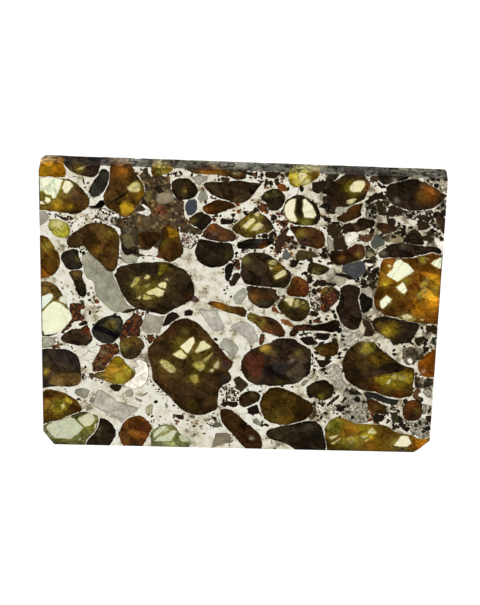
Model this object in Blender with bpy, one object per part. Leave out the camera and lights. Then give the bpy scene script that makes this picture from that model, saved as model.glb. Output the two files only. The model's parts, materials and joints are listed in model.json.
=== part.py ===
"""Slice of a pallasite: a plate of nickel-iron holding crystals of olivine.

The slice lies flat on its back face with its cut face up. The origin is under the
middle of the slice, at the level of its back face. +X runs along the length, +Y across
the width and +Z through the thickness. Each crystal sits in its own pocket in the metal,
and goes all the way through, as in a slice that lets light through.
"""
import math

import bmesh
import bpy

MM = 0.001

SLICE_LENGTH = 60.0 * MM
SLICE_WIDTH = 48.0 * MM
SLICE_THICKNESS = 3.1 * MM
RIGHT_END_DROP = 0.65 * MM
RIGHT_END_LIFT = 0.25 * MM
TOP_LEFT_RADIUS = 1.1 * MM
TOP_RIGHT_RADIUS = 0.5 * MM
CORNER_STEPS = 4
# The two lower corners are broken off. Points in millimetres in from the corner.
LOWER_LEFT_BREAK = [(0.0, 2.2), (1.0, 0.9), (1.6, 0.0)]
LOWER_RIGHT_BREAK = [(2.2, 0.0), (1.6, 0.6), (0.4, 1.5), (0.0, 2.0)]

CRYSTAL_GAP = 0.3 * MM
CRYSTAL_BACK_LIFT = 0.04 * MM
POCKET_OVERRUN = 1.0 * MM
MITRE_LIMIT = 2.0

# Crystal outlines on the cut face, in millimetres from the middle of the slice.
# A crystal that the saw cut at the edge runs a little past it here, and is trimmed flush.
DARK_OLIVINE = {
    "top_dark_round": [
        (-10.5, 21.7), (-9.3, 22.2), (-7.9, 22.15), (-7.1, 21.4), (-6.4, 20.4), (-7.0, 19.2),
        (-8.0, 18.8), (-9.2, 18.65), (-10.0, 19.1), (-10.5, 20.3),
    ],
    "top_dark_long": [
        (-6.05, 21.4), (-5.4, 21.8), (-2.0, 21.85), (1.5, 21.9), (2.8, 21.75), (2.9, 21.45),
        (2.2, 21.0), (1.6, 19.9), (0.9, 18.85), (-0.2, 18.4), (-0.9, 18.25), (-1.9, 18.8),
        (-3.4, 19.3), (-4.8, 19.7), (-5.6, 20.7),
    ],
    "top_dark_kidney": [
        (2.55, 19.5), (3.0, 20.25), (4.2, 20.95), (4.9, 21.05), (5.9, 20.4), (6.15, 19.5),
        (6.0, 18.4), (5.3, 17.4), (4.3, 17.15), (3.75, 17.6), (3.4, 18.6), (2.7, 19.0),
    ],
    "top_right_large": [
        (20.95, 20.6), (21.1, 21.7), (22.3, 22.4), (24.3, 23.05), (25.7, 23.0), (27.0, 22.3),
        (28.3, 21.75), (29.9, 20.5), (29.7, 20.0), (28.8, 19.0), (27.8, 18.3), (26.0, 17.95),
        (25.0, 17.75), (23.8, 18.1), (22.4, 18.9), (21.3, 19.6),
    ],
    "right_dark_cap": [
        (20.25, 10.5), (20.45, 11.1), (21.4, 11.7), (21.8, 12.3), (23.2, 12.5), (24.8, 12.35),
        (26.4, 12.15), (27.8, 12.0), (29.1, 12.05), (29.3, 11.6), (29.75, 11.3), (29.65, 10.85),
        (28.6, 11.35), (27.9, 11.15), (27.3, 10.7), (26.4, 10.7), (25.7, 10.22), (23.5, 10.1),
        (21.6, 10.15), (20.7, 9.95),
    ],
    "left_dark": [
        (-26.95, 8.9), (-26.5, 9.6), (-25.5, 9.95), (-24.4, 10.0), (-24.1, 8.9), (-23.75, 7.6),
        (-23.65, 6.95), (-24.6, 6.7), (-25.8, 6.55), (-26.3, 7.1),
    ],
    "left_brown_strip": [
        (-25.85, 6.4), (-24.8, 6.6), (-23.75, 6.8), (-23.7, 5.2), (-23.05, 4.2), (-23.05, 3.35),
        (-23.25, 1.9), (-24.1, 2.0), (-24.65, 2.8), (-24.7, 3.9), (-25.3, 5.3),
    ],
    "centre_dark_round": [
        (-6.25, 12.3), (-4.6, 12.05), (-3.0, 11.75), (-1.5, 11.85), (-1.3, 11.0), (-1.0, 9.9),
        (-1.5, 8.8), (-2.5, 7.95), (-3.7, 7.6), (-4.9, 7.7), (-5.9, 8.1), (-6.6, 8.9),
        (-6.95, 10.2), (-6.7, 11.3),
    ],
    "centre_large_windowed": [
        (0.0, 8.8), (0.4, 9.7), (1.6, 10.25), (3.2, 10.3), (4.6, 9.85), (5.6, 8.9), (6.8, 7.8),
        (7.7, 6.7), (7.35, 5.4), (7.05, 4.65), (5.5, 4.55), (3.8, 4.65), (2.0, 4.8), (0.6, 5.15),
        (0.1, 6.0), (-0.05, 7.5),
    ],
    "upper_dark_tongue": [
        (-0.8, 11.7), (0.1, 12.1), (1.2, 12.5), (2.7, 12.55), (4.9, 12.95), (4.9, 12.2),
        (4.1, 11.6), (3.2, 10.95), (1.5, 10.95), (-0.5, 10.8),
    ],
    "right_black_long": [
        (15.05, 4.7), (15.7, 5.35), (16.9, 5.4), (18.0, 4.85), (18.0, 4.0), (17.5, 2.9),
        (17.95, 1.9), (18.35, 0.5), (18.45, -0.9), (17.9, -2.4), (16.9, -2.45), (15.8, -1.7),
        (15.1, -0.3), (14.35, 1.5), (15.0, 2.6),
    ],
    "left_lower_dark": [
        (-27.2, -5.2), (-26.3, -4.1), (-25.3, -3.35), (-24.0, -3.35), (-23.2, -2.5), (-22.8, -3.6),
        (-22.3, -5.3), (-23.0, -6.3), (-24.4, -6.4), (-25.8, -6.0), (-26.8, -5.85),
    ],
    "lower_slate": [
        (-22.4, -3.4), (-21.9, -2.3), (-20.8, -1.5), (-19.4, -0.75), (-18.1, -0.8), (-17.4, -1.7),
        (-17.8, -3.4), (-18.4, -4.8), (-19.2, -5.75), (-20.8, -5.8), (-21.8, -5.0),
    ],
    "lower_two_tone": [
        (-18.1, -5.4), (-17.2, -4.7), (-15.7, -4.3), (-14.6, -4.9), (-14.35, -6.3), (-15.0, -7.5),
        (-16.0, -8.5), (-17.1, -8.4), (-18.1, -7.2),
    ],
    "left_lower_large": [
        (-30.3, -7.2), (-28.5, -6.9), (-26.5, -6.9), (-25.2, -7.35), (-24.4, -8.4), (-24.05, -10.0),
        (-23.95, -12.4), (-24.6, -13.2), (-26.0, -13.7), (-28.0, -13.45), (-30.3, -13.9),
    ],
    "corner_dark": [
        (-21.2, -18.85), (-20.0, -19.4), (-19.1, -20.3), (-18.75, -21.5), (-19.1, -22.8),
        (-19.8, -24.3), (-23.4, -24.3), (-23.2, -23.2), (-22.3, -22.1), (-21.5, -20.9),
        (-21.2, -19.6),
    ],
    "lower_dark_round": [
        (10.3, -12.9), (11.0, -12.0), (12.3, -11.3), (13.3, -11.05), (14.4, -11.9), (14.9, -13.0),
        (14.5, -14.3), (13.4, -14.9), (12.0, -14.55), (10.8, -13.8),
    ],
    "bottom_dark_large": [
        (4.35, -21.0), (5.0, -20.2), (6.6, -19.8), (8.2, -19.4), (10.0, -18.85), (12.1, -18.5),
        (13.1, -19.5), (13.5, -21.0), (13.9, -22.6), (14.0, -24.3), (9.6, -24.3), (8.2, -23.1),
        (6.4, -22.3), (5.1, -22.0),
    ],
    "right_dark_bar": [
        (7.55, -4.0), (7.6, -3.0), (8.3, -1.95), (9.6, -1.6), (11.5, -1.6), (13.0, -1.3),
        (14.4, -0.65), (15.0, -0.8), (15.15, -1.9), (15.3, -2.8), (13.5, -2.8), (11.2, -2.65),
        (9.0, -2.85), (8.5, -3.7),
    ],
    "right_dark_golden": [
        (19.95, -0.9), (20.5, -0.1), (22.0, 0.0), (23.6, -0.25), (25.2, -0.75), (26.9, -0.9),
        (27.35, -1.3), (26.8, -2.4), (26.2, -4.2), (24.8, -4.45), (23.4, -5.1), (22.9, -3.9),
        (21.9, -3.3), (20.7, -2.4),
    ],
    "upper_oval_large": [
        (-18.8, 6.0), (-18.1, 7.3), (-16.6, 7.9), (-14.5, 8.2), (-12.2, 8.3), (-10.2, 8.0),
        (-8.5, 7.25), (-7.5, 6.2), (-7.0, 4.6), (-6.8, 3.2), (-7.4, 2.0), (-8.4, 1.4), (-9.4, 0.6),
        (-10.6, 0.0), (-11.3, -0.6), (-13.3, -0.3), (-15.6, 0.3), (-16.8, 1.2), (-17.7, 2.7),
        (-18.4, 4.3),
    ],
    "lower_brown_large": [
        (0.4, -9.2), (0.55, -7.8), (1.5, -6.5), (2.9, -5.7), (4.6, -4.95), (6.2, -4.15),
        (8.2, -4.15), (9.9, -5.2), (10.9, -6.0), (11.05, -8.3), (11.1, -10.2), (10.0, -11.0),
        (9.1, -12.0), (7.0, -12.25), (5.0, -12.35), (3.0, -12.5), (1.5, -11.8), (0.6, -10.4),
    ],
}
BROWN_OLIVINE = {
    "top_plum": [
        (-26.2, 24.3), (-25.6, 23.3), (-24.9, 22.65), (-24.0, 22.2), (-22.9, 22.0), (-21.6, 22.15),
        (-21.1, 22.7), (-21.0, 24.3),
    ],
    "top_left_windowed": [
        (-30.3, 21.75), (-28.5, 21.85), (-27.0, 21.65), (-25.6, 21.5), (-24.3, 21.0), (-23.5, 19.9),
        (-22.8, 18.6), (-22.5, 17.7), (-23.1, 16.7), (-24.2, 15.95), (-25.6, 15.95), (-27.3, 16.2),
        (-30.3, 16.45),
    ],
    "top_brown_large": [
        (-19.3, 24.3), (-16.4, 24.3), (-15.5, 22.3), (-14.5, 21.0), (-14.4, 19.8), (-15.0, 18.4),
        (-16.0, 16.7), (-16.8, 15.6), (-17.7, 15.5), (-18.6, 16.2), (-19.9, 17.0), (-20.45, 17.6),
        (-20.4, 18.9), (-20.0, 19.9), (-19.65, 21.8),
    ],
    "left_brown_large": [
        (-26.0, 10.8), (-25.9, 11.5), (-25.2, 12.6), (-24.1, 13.6), (-22.7, 14.5), (-20.6, 14.6),
        (-18.9, 14.0), (-18.25, 12.8), (-18.15, 10.8), (-18.2, 9.0), (-18.5, 7.6), (-19.1, 6.5),
        (-19.9, 6.6), (-20.6, 7.4), (-21.3, 8.2), (-22.3, 9.1), (-23.0, 10.0), (-23.5, 10.9),
        (-24.3, 10.6), (-25.4, 10.3),
    ],
    "top_edge_long": [
        (-8.5, 24.3), (-8.3, 23.4), (-7.6, 23.0), (-6.0, 22.9), (-3.5, 22.8), (-1.8, 22.6),
        (-0.5, 22.25), (0.2, 22.4), (0.6, 23.2), (0.5, 24.3),
    ],
    "upper_brown": [
        (7.05, 14.7), (8.2, 14.9), (10.2, 14.85), (11.3, 14.45), (12.15, 13.9), (12.35, 12.7),
        (12.45, 11.7), (11.9, 11.25), (10.6, 11.35), (9.5, 11.65), (8.4, 12.05), (8.05, 13.1),
        (7.5, 14.1),
    ],
    "upper_brown_block": [
        (-15.5, 13.0), (-14.2, 13.4), (-12.7, 13.3), (-12.0, 13.0), (-12.15, 12.1), (-13.0, 11.2),
        (-13.7, 10.45), (-14.7, 10.5), (-15.4, 11.4),
    ],
    "upper_brown_crown": [
        (-6.1, 12.75), (-5.4, 13.9), (-4.9, 14.9), (-4.1, 15.1), (-3.1, 14.55), (-1.9, 13.95),
        (-0.9, 13.2), (-0.8, 12.5), (-1.6, 12.1), (-3.0, 11.95), (-4.4, 12.2),
    ],
    "upper_olive": [
        (-11.8, 14.0), (-11.2, 14.7), (-10.3, 14.75), (-9.5, 14.2), (-9.15, 12.8), (-9.0, 11.5),
        (-8.5, 10.4), (-8.6, 9.7), (-9.6, 9.0), (-10.6, 8.45), (-11.5, 8.85), (-12.4, 9.6),
        (-12.35, 10.6), (-11.85, 11.5), (-11.65, 12.6),
    ],
    "centre_brown_tail": [
        (1.15, 0.0), (2.2, 0.2), (3.0, -0.45), (4.3, -0.35), (5.3, -0.9), (6.3, -1.7), (6.9, -2.6),
        (6.95, -3.8), (6.0, -3.9), (4.7, -3.4), (3.5, -3.0), (2.5, -2.05), (1.2, -0.95),
    ],
    "centre_brown_lower": [
        (0.95, 4.75), (2.6, 4.55), (4.8, 4.4), (5.35, 4.1), (5.35, 3.3), (6.1, 3.0), (5.2, 2.2),
        (4.8, 1.15), (3.6, 0.9), (2.9, 0.95), (2.0, 1.65), (1.2, 2.5), (1.05, 3.8),
    ],
    "centre_red_brown": [
        (7.6, 6.1), (8.0, 6.6), (9.0, 6.4), (10.05, 5.9), (10.2, 5.2), (10.5, 4.5), (10.1, 3.5),
        (9.8, 2.95), (8.3, 3.1), (7.0, 3.2), (7.1, 4.4),
    ],
    "upper_right_brown": [
        (13.1, 9.5), (13.1, 10.95), (14.8, 11.0), (15.9, 11.3), (16.8, 12.2), (17.8, 12.2),
        (18.45, 11.7), (18.4, 10.3), (18.0, 9.55), (16.6, 9.15), (15.2, 8.65), (14.2, 8.5),
    ],
    "centre_largest": [
        (-10.2, -2.0), (-9.1, -1.15), (-7.8, -1.0), (-6.2, -2.0), (-5.0, -3.3), (-3.7, -5.0),
        (-2.2, -6.8), (-0.85, -8.7), (-1.0, -9.5), (-1.6, -10.1), (-0.95, -11.0), (-1.2, -12.3),
        (-2.3, -12.5), (-2.85, -13.7), (-3.0, -15.3), (-3.1, -16.9), (-4.5, -17.7), (-5.6, -18.2),
        (-7.5, -17.8), (-9.0, -16.8), (-10.0, -15.5), (-11.0, -14.3), (-12.2, -13.2),
        (-13.2, -11.8), (-13.3, -9.8), (-13.9, -7.6), (-13.7, -6.3), (-12.9, -5.0), (-11.6, -3.8),
    ],
    "lower_brown_oval": [
        (3.55, -15.2), (4.1, -13.9), (4.8, -13.0), (6.3, -12.75), (8.0, -13.2), (9.5, -14.1),
        (11.0, -15.0), (11.8, -16.0), (11.4, -17.3), (10.6, -18.3), (9.0, -18.95), (7.2, -19.35),
        (5.4, -19.1), (4.1, -18.4), (3.6, -17.2),
    ],
    "bottom_brown_long": [
        (-2.6, -17.0), (-2.0, -16.6), (-0.9, -17.0), (0.2, -17.9), (1.6, -19.2), (3.0, -20.5),
        (3.8, -21.7), (4.1, -22.9), (3.9, -24.3), (1.8, -24.3), (0.9, -23.3), (-0.4, -21.6),
        (-1.6, -20.2), (-2.4, -19.2),
    ],
    "bottom_rust_brown": [
        (-18.25, -21.6), (-17.9, -20.3), (-17.0, -18.95), (-15.8, -18.45), (-14.7, -18.4),
        (-13.8, -19.3), (-13.2, -20.2), (-13.6, -21.5), (-14.1, -23.0), (-14.8, -24.3),
        (-17.3, -24.3), (-18.1, -23.0),
    ],
    "right_red_brown": [
        (25.45, -16.0), (25.8, -14.9), (26.6, -14.35), (27.9, -14.2), (28.6, -15.1), (28.5, -16.9),
        (28.1, -17.9), (26.9, -18.1), (25.8, -17.9), (25.5, -17.0),
    ],
}
AMBER_OLIVINE = {
    "corner_orange": [
        (-30.3, 24.3), (-26.6, 24.3), (-26.1, 23.0), (-26.05, 21.85), (-27.0, 21.75), (-28.5, 21.9),
        (-30.3, 21.85),
    ],
    "left_amber_oval": [
        (-30.3, 12.1), (-29.4, 12.3), (-28.6, 11.7), (-27.9, 10.7), (-27.35, 9.4), (-27.1, 8.0),
        (-27.2, 6.9), (-27.6, 6.1), (-28.4, 5.45), (-29.3, 5.15), (-30.3, 5.2),
    ],
    "centre_amber_tail": [
        (-5.3, 1.5), (-4.5, 2.1), (-3.0, 1.9), (-1.7, 1.25), (-0.7, 1.1), (0.5, 1.2), (0.95, 0.6),
        (0.95, -0.75), (-0.1, -0.35), (-1.6, 0.1), (-3.1, 0.5), (-4.2, 1.1),
    ],
    "right_amber_large": [
        (20.8, 9.1), (21.2, 9.85), (23.2, 9.95), (25.7, 10.0), (26.5, 10.5), (27.4, 10.5),
        (28.1, 10.95), (28.6, 11.0), (29.5, 10.4), (30.3, 10.6), (30.3, -1.0), (28.4, -1.0),
        (26.9, -0.65), (25.2, -0.5), (23.7, 0.0), (21.9, 0.5), (20.7, 1.2), (20.2, 2.2),
        (20.15, 3.7), (20.5, 5.4), (20.4, 6.6), (20.75, 8.0),
    ],
    "right_edge_orange": [
        (30.3, -4.9), (29.0, -5.9), (28.1, -6.7), (27.3, -7.6), (27.5, -9.0), (28.0, -10.05),
        (29.1, -10.3), (30.3, -10.1),
    ],
    "left_gold": [
        (-30.3, -14.8), (-29.3, -14.3), (-28.0, -14.25), (-26.5, -14.8), (-25.0, -15.65),
        (-24.2, -16.8), (-23.95, -17.7), (-25.2, -18.35), (-26.8, -19.1), (-28.0, -19.75),
        (-28.9, -19.85), (-29.5, -20.05), (-30.3, -20.65),
    ],
    "right_large_glinting": [
        (15.8, -8.4), (16.0, -7.2), (16.7, -5.6), (17.8, -4.6), (19.0, -4.2), (20.5, -4.4),
        (21.5, -5.4), (23.0, -6.6), (24.4, -7.8), (25.6, -8.6), (26.7, -8.6), (27.0, -10.0),
        (26.85, -12.0), (26.9, -13.6), (25.0, -14.1), (22.8, -13.8), (21.0, -13.1), (19.2, -12.85),
        (17.6, -12.1), (16.4, -10.9), (16.0, -9.5),
    ],
}
YELLOW_OLIVINE = {
    "top_round_windowed": [
        (6.1, 17.3), (6.3, 18.6), (6.9, 19.5), (8.0, 20.05), (9.3, 19.85), (10.5, 19.0),
        (11.3, 17.8), (11.75, 16.3), (11.1, 15.4), (9.9, 14.95), (8.2, 15.05), (6.9, 15.6),
        (6.2, 16.4),
    ],
    "top_yellow": [
        (6.6, 23.2), (6.7, 24.3), (11.2, 24.3), (11.2, 23.2), (10.5, 22.45), (9.6, 21.75),
        (8.4, 21.2), (7.3, 21.2), (6.7, 21.9),
    ],
    "top_kite_windowed": [
        (12.3, 21.8), (13.6, 22.6), (15.0, 23.6), (16.6, 23.8), (17.8, 23.5), (18.75, 22.1),
        (18.5, 21.0), (17.8, 19.7), (16.8, 18.8), (15.2, 18.4), (13.8, 18.05), (13.0, 17.6),
        (12.5, 18.4), (12.3, 19.4), (12.6, 20.3),
    ],
    "upper_yellow_windowed": [
        (-1.5, 14.3), (-0.7, 15.3), (0.3, 16.3), (1.4, 17.3), (2.4, 17.1), (3.5, 16.35),
        (4.4, 15.4), (4.8, 14.5), (4.1, 13.8), (2.4, 13.35), (1.5, 12.95), (0.6, 12.85),
        (-0.6, 13.4),
    ],
    "centre_olive_windowed": [
        (5.6, 1.5), (6.2, 2.4), (6.8, 3.0), (8.2, 2.95), (9.8, 2.7), (10.4, 1.8), (10.65, 0.8),
        (10.1, -0.4), (9.2, -1.05), (8.1, -1.15), (7.0, -0.4), (6.0, 0.6),
    ],
    "lower_yellow_kite": [
        (-18.95, -7.95), (-18.2, -7.9), (-17.4, -9.0), (-16.4, -10.0), (-15.5, -11.0),
        (-16.3, -12.1), (-17.6, -12.85), (-18.7, -13.0), (-20.3, -12.3), (-22.1, -12.0),
        (-22.2, -11.05), (-20.7, -10.8), (-19.9, -9.4),
    ],
    "left_lime": [
        (-28.7, 14.6), (-28.2, 15.0), (-27.2, 14.95), (-26.3, 14.65), (-25.75, 14.2), (-25.5, 13.4),
        (-25.7, 12.5), (-26.3, 12.0), (-27.0, 11.8), (-27.9, 12.3), (-28.6, 13.2),
    ],
    "right_olive_wedge": [
        (11.35, -5.8), (12.2, -5.05), (13.6, -4.6), (15.1, -4.35), (15.35, -5.5), (14.9, -6.8),
        (13.6, -7.4), (12.4, -7.0),
    ],
    "bottom_yellow_large": [
        (13.7, -19.8), (14.3, -18.4), (15.4, -17.75), (16.8, -17.95), (18.2, -18.8), (20.2, -18.95),
        (22.4, -18.8), (23.8, -19.2), (24.3, -20.1), (25.5, -20.6), (27.2, -20.6), (28.3, -21.3),
        (29.3, -21.3), (30.3, -20.8), (30.3, -24.3), (14.2, -24.3), (14.05, -22.6), (13.62, -21.0),
    ],
}
PALE_OLIVINE = {
    "left_window_large": [
        (-30.3, 4.5), (-29.0, 4.55), (-28.1, 4.35), (-27.3, 3.4), (-26.6, 2.3), (-26.1, 0.9),
        (-25.7, -0.3), (-25.35, -1.5), (-26.1, -2.8), (-27.1, -3.9), (-28.2, -4.45), (-30.3, -4.7),
    ],
    "corner_pale_green": [
        (-30.3, -20.9), (-29.2, -20.1), (-27.8, -19.9), (-26.5, -19.2), (-24.7, -18.25),
        (-23.1, -17.9), (-21.8, -18.5), (-21.4, -19.3), (-21.7, -20.9), (-22.5, -22.1),
        (-23.4, -23.1), (-23.6, -24.3), (-30.3, -24.3),
    ],
    "bottom_pale_green": [
        (-13.2, -21.5), (-12.5, -20.6), (-11.4, -19.8), (-10.3, -19.65), (-9.3, -20.4),
        (-8.6, -21.6), (-7.9, -21.7), (-7.2, -22.3), (-7.2, -23.2), (-7.6, -24.3), (-13.2, -24.3),
    ],
}

METAL_LOOK = {"colour": (0.74, 0.71, 0.64), "roughness": 0.35, "metallic": 1.0}
CRYSTAL_KINDS = [
    (DARK_OLIVINE, "dark_olivine", (0.035, 0.023, 0.013)),
    (BROWN_OLIVINE, "brown_olivine", (0.080, 0.040, 0.014)),
    (AMBER_OLIVINE, "amber_olivine", (0.300, 0.120, 0.012)),
    (YELLOW_OLIVINE, "yellow_olivine", (0.380, 0.270, 0.040)),
    (PALE_OLIVINE, "pale_olivine", (0.600, 0.590, 0.350)),
]
OLIVINE_ROUGHNESS = 0.12


def clear_scene():
    for old in list(bpy.data.objects):
        bpy.data.objects.remove(old, do_unlink=True)


def surface(name, colour, roughness, metallic):
    material = bpy.data.materials.new(name)
    material.use_nodes = True
    shader = material.node_tree.nodes["Principled BSDF"]
    shader.inputs["Base Color"].default_value = (*colour, 1.0)
    shader.inputs["Roughness"].default_value = roughness
    shader.inputs["Metallic"].default_value = metallic
    material.diffuse_color = (*colour, 1.0)
    return material


def round_corner(centre, radius, start_angle):
    """Quarter turn about centre, anticlockwise from start_angle."""
    angles = [start_angle + math.pi / 2 * step / CORNER_STEPS for step in range(CORNER_STEPS + 1)]
    return [(centre[0] + radius * math.cos(a), centre[1] + radius * math.sin(a)) for a in angles]


def slice_outline():
    """Edge of the slice, anticlockwise from the broken lower left corner."""
    half_length = SLICE_LENGTH / 2
    half_width = SLICE_WIDTH / 2
    lower_right = (half_length, -half_width + RIGHT_END_LIFT)
    top_right = (half_length, half_width - RIGHT_END_DROP)
    outline = [(-half_length + x * MM, -half_width + y * MM) for x, y in LOWER_LEFT_BREAK]
    outline += [(lower_right[0] - x * MM, lower_right[1] + y * MM) for x, y in LOWER_RIGHT_BREAK]
    right_centre = (top_right[0] - TOP_RIGHT_RADIUS, top_right[1] - TOP_RIGHT_RADIUS)
    outline += round_corner(right_centre, TOP_RIGHT_RADIUS, 0.0)
    left_centre = (-half_length + TOP_LEFT_RADIUS, half_width - TOP_LEFT_RADIUS)
    outline += round_corner(left_centre, TOP_LEFT_RADIUS, math.pi / 2)
    return outline


def turned_anticlockwise(outline):
    following = outline[1:] + outline[:1]
    doubled_area = sum(a[0] * b[1] - b[0] * a[1] for a, b in zip(outline, following))
    return outline if doubled_area > 0 else outline[::-1]


def moved_out(outline, distance):
    """Anticlockwise outline with every side moved outwards by distance."""
    moved = []
    for index, point in enumerate(outline):
        before = outline[index - 1]
        after = outline[(index + 1) % len(outline)]
        normal_in = unit(point[1] - before[1], before[0] - point[0])
        normal_out = unit(after[1] - point[1], point[0] - after[0])
        middle = unit(normal_in[0] + normal_out[0], normal_in[1] + normal_out[1])
        lean = middle[0] * normal_in[0] + middle[1] * normal_in[1]
        reach = distance / max(lean, 1.0 / MITRE_LIMIT)
        moved.append((point[0] + middle[0] * reach, point[1] + middle[1] * reach))
    return moved


def unit(x, y):
    length = math.hypot(x, y)
    return (x / length, y / length)


def trimmed(outline, edge):
    """Part of an outline that lies inside a convex anticlockwise edge."""
    for start, end in zip(edge, edge[1:] + edge[:1]):
        kept = []
        for point, following in zip(outline, outline[1:] + outline[:1]):
            here = side_of(start, end, point)
            there = side_of(start, end, following)
            if here >= 0:
                kept.append(point)
            if (here >= 0) != (there >= 0):
                share = here / (here - there)
                kept.append((point[0] + share * (following[0] - point[0]),
                             point[1] + share * (following[1] - point[1])))
        outline = kept
    return outline


def side_of(start, end, point):
    """Distance of a point to the left of the line from start to end."""
    along = unit(end[0] - start[0], end[1] - start[1])
    return along[0] * (point[1] - start[1]) - along[1] * (point[0] - start[0])


def prism(name, outline, low, high, material=None):
    """Closed solid with this outline between the heights low and high."""
    shape = bmesh.new()
    base = shape.faces.new([shape.verts.new((x, y, low)) for x, y in outline[::-1]])
    raised = bmesh.ops.extrude_face_region(shape, geom=[base])["geom"]
    lifted = [item for item in raised if isinstance(item, bmesh.types.BMVert)]
    bmesh.ops.translate(shape, verts=lifted, vec=(0.0, 0.0, high - low))
    bmesh.ops.recalc_face_normals(shape, faces=shape.faces)
    mesh = bpy.data.meshes.new(name)
    shape.to_mesh(mesh)
    shape.free()
    if material:
        mesh.materials.append(material)
    return bpy.data.objects.new(name, mesh)


def make_crystals(edge, pockets):
    """Every crystal as its own solid, and a cutter for its pocket in the metal."""
    for crystals, kind, colour in CRYSTAL_KINDS:
        material = surface(kind, colour, OLIVINE_ROUGHNESS, 0.0)
        for name, outline_mm in crystals.items():
            outline = turned_anticlockwise([(x * MM, y * MM) for x, y in outline_mm])
            crystal_edge = trimmed(moved_out(outline, -CRYSTAL_GAP / 2), edge)
            crystal = prism("olivine_" + name, crystal_edge, CRYSTAL_BACK_LIFT, SLICE_THICKNESS, material)
            bpy.context.scene.collection.objects.link(crystal)
            pocket_edge = moved_out(outline, CRYSTAL_GAP / 2)
            pocket = prism("pocket_" + name, pocket_edge, -POCKET_OVERRUN, SLICE_THICKNESS + POCKET_OVERRUN)
            pocket.hide_render = True
            pocket.display_type = "WIRE"
            pockets.objects.link(pocket)


def make_metal(edge, pockets):
    """Plate of metal with every pocket cut through it."""
    metal = prism("metal_matrix", edge, 0.0, SLICE_THICKNESS, surface("nickel_iron", **METAL_LOOK))
    bpy.context.scene.collection.objects.link(metal)
    cut = metal.modifiers.new("crystal pockets", "BOOLEAN")
    cut.operation = "DIFFERENCE"
    cut.operand_type = "COLLECTION"
    cut.collection = pockets
    cut.solver = "EXACT"


clear_scene()
slice_edge = slice_outline()
pocket_cutters = bpy.data.collections.new("pocket cutters")
bpy.context.scene.collection.children.link(pocket_cutters)
make_crystals(slice_edge, pocket_cutters)
make_metal(slice_edge, pocket_cutters)
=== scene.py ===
import json
import math
import random

import bpy
import numpy as np
from mathutils import Matrix, Vector
from mathutils.geometry import convex_hull_2d, delaunay_2d_cdt


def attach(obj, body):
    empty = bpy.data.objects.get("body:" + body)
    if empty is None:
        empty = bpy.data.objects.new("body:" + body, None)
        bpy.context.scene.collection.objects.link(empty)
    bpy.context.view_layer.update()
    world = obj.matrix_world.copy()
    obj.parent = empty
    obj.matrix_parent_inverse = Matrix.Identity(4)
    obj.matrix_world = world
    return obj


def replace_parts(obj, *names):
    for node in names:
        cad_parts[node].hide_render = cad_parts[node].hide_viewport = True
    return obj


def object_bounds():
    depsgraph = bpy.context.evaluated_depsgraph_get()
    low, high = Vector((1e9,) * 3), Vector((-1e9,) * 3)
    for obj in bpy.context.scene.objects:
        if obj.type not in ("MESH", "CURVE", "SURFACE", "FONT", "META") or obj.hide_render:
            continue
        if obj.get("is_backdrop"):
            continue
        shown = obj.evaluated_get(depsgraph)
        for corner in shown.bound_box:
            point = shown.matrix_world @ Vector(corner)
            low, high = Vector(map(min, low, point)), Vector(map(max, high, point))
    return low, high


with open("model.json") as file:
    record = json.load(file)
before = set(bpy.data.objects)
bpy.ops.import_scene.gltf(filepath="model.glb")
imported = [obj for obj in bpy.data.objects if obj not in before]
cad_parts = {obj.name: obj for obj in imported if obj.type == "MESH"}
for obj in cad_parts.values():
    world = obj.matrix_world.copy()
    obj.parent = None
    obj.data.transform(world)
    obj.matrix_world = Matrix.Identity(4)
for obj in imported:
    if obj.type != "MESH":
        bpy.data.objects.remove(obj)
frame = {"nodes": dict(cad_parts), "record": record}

# The slice
# One saw-cut plate of stony-iron meteorite lying on its back face. All sizes and places are
# in millimetres, from the middle of the slice, x along its length and y across its width.
MM = 0.001
cad_box = [list(corner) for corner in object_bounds()]
THICKNESS = cad_box[1][2] / MM
RIM_TOLERANCE = 0.03
LEAST_TURN = 0.001


def slice_edge():
    """Edge of the slice, anticlockwise, from the outermost points of the solids."""
    corners = [vertex.co / MM for node in frame["nodes"].values() for vertex in node.data.vertices]
    points = list(dict.fromkeys((corner.x, corner.y) for corner in corners))
    hull = [points[index] for index in convex_hull_2d(points)]
    kept = []
    for before, point, after in zip(hull[-1:] + hull[:-1], hull, hull[1:] + hull[:1]):
        turn = ((point[0] - before[0]) * (after[1] - point[1])
                - (point[1] - before[1]) * (after[0] - point[0]))
        if turn > LEAST_TURN:
            kept.append(point)
    return kept


def sides_of(outline):
    """Every side of a closed outline, as its two ends."""
    return zip(outline, outline[1:] + outline[:1])


def distances(points, outline):
    """Distance of each point to the nearest side of an outline."""
    points = np.asarray(points, float)
    start = np.asarray(outline, float)
    span = np.roll(start, -1, axis=0) - start
    reach = points[:, None, :] - start[None, :, :]
    share = np.clip((reach * span).sum(2) / (span * span).sum(1), 0.0, 1.0)
    return np.linalg.norm(reach - share[:, :, None] * span, axis=2).min(axis=1)


def inside(points, outline):
    """Whether each point lies inside an outline."""
    points = np.asarray(points, float)
    crossings = np.zeros(len(points), int)
    for (x1, y1), (x2, y2) in sides_of(outline):
        spans = (points[:, 1] < y1) != (points[:, 1] < y2)
        with np.errstate(divide="ignore", invalid="ignore"):
            reach = x1 + (points[:, 1] - y1) * (x2 - x1) / (y2 - y1)
        crossings += spans & (points[:, 0] < reach)
    return crossings % 2 == 1


edge = slice_edge()
edge_top = max(y for _, y in edge)
SLICE_LENGTH = 60.0
UPPER_EDGE_FALL = 0.65

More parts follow.
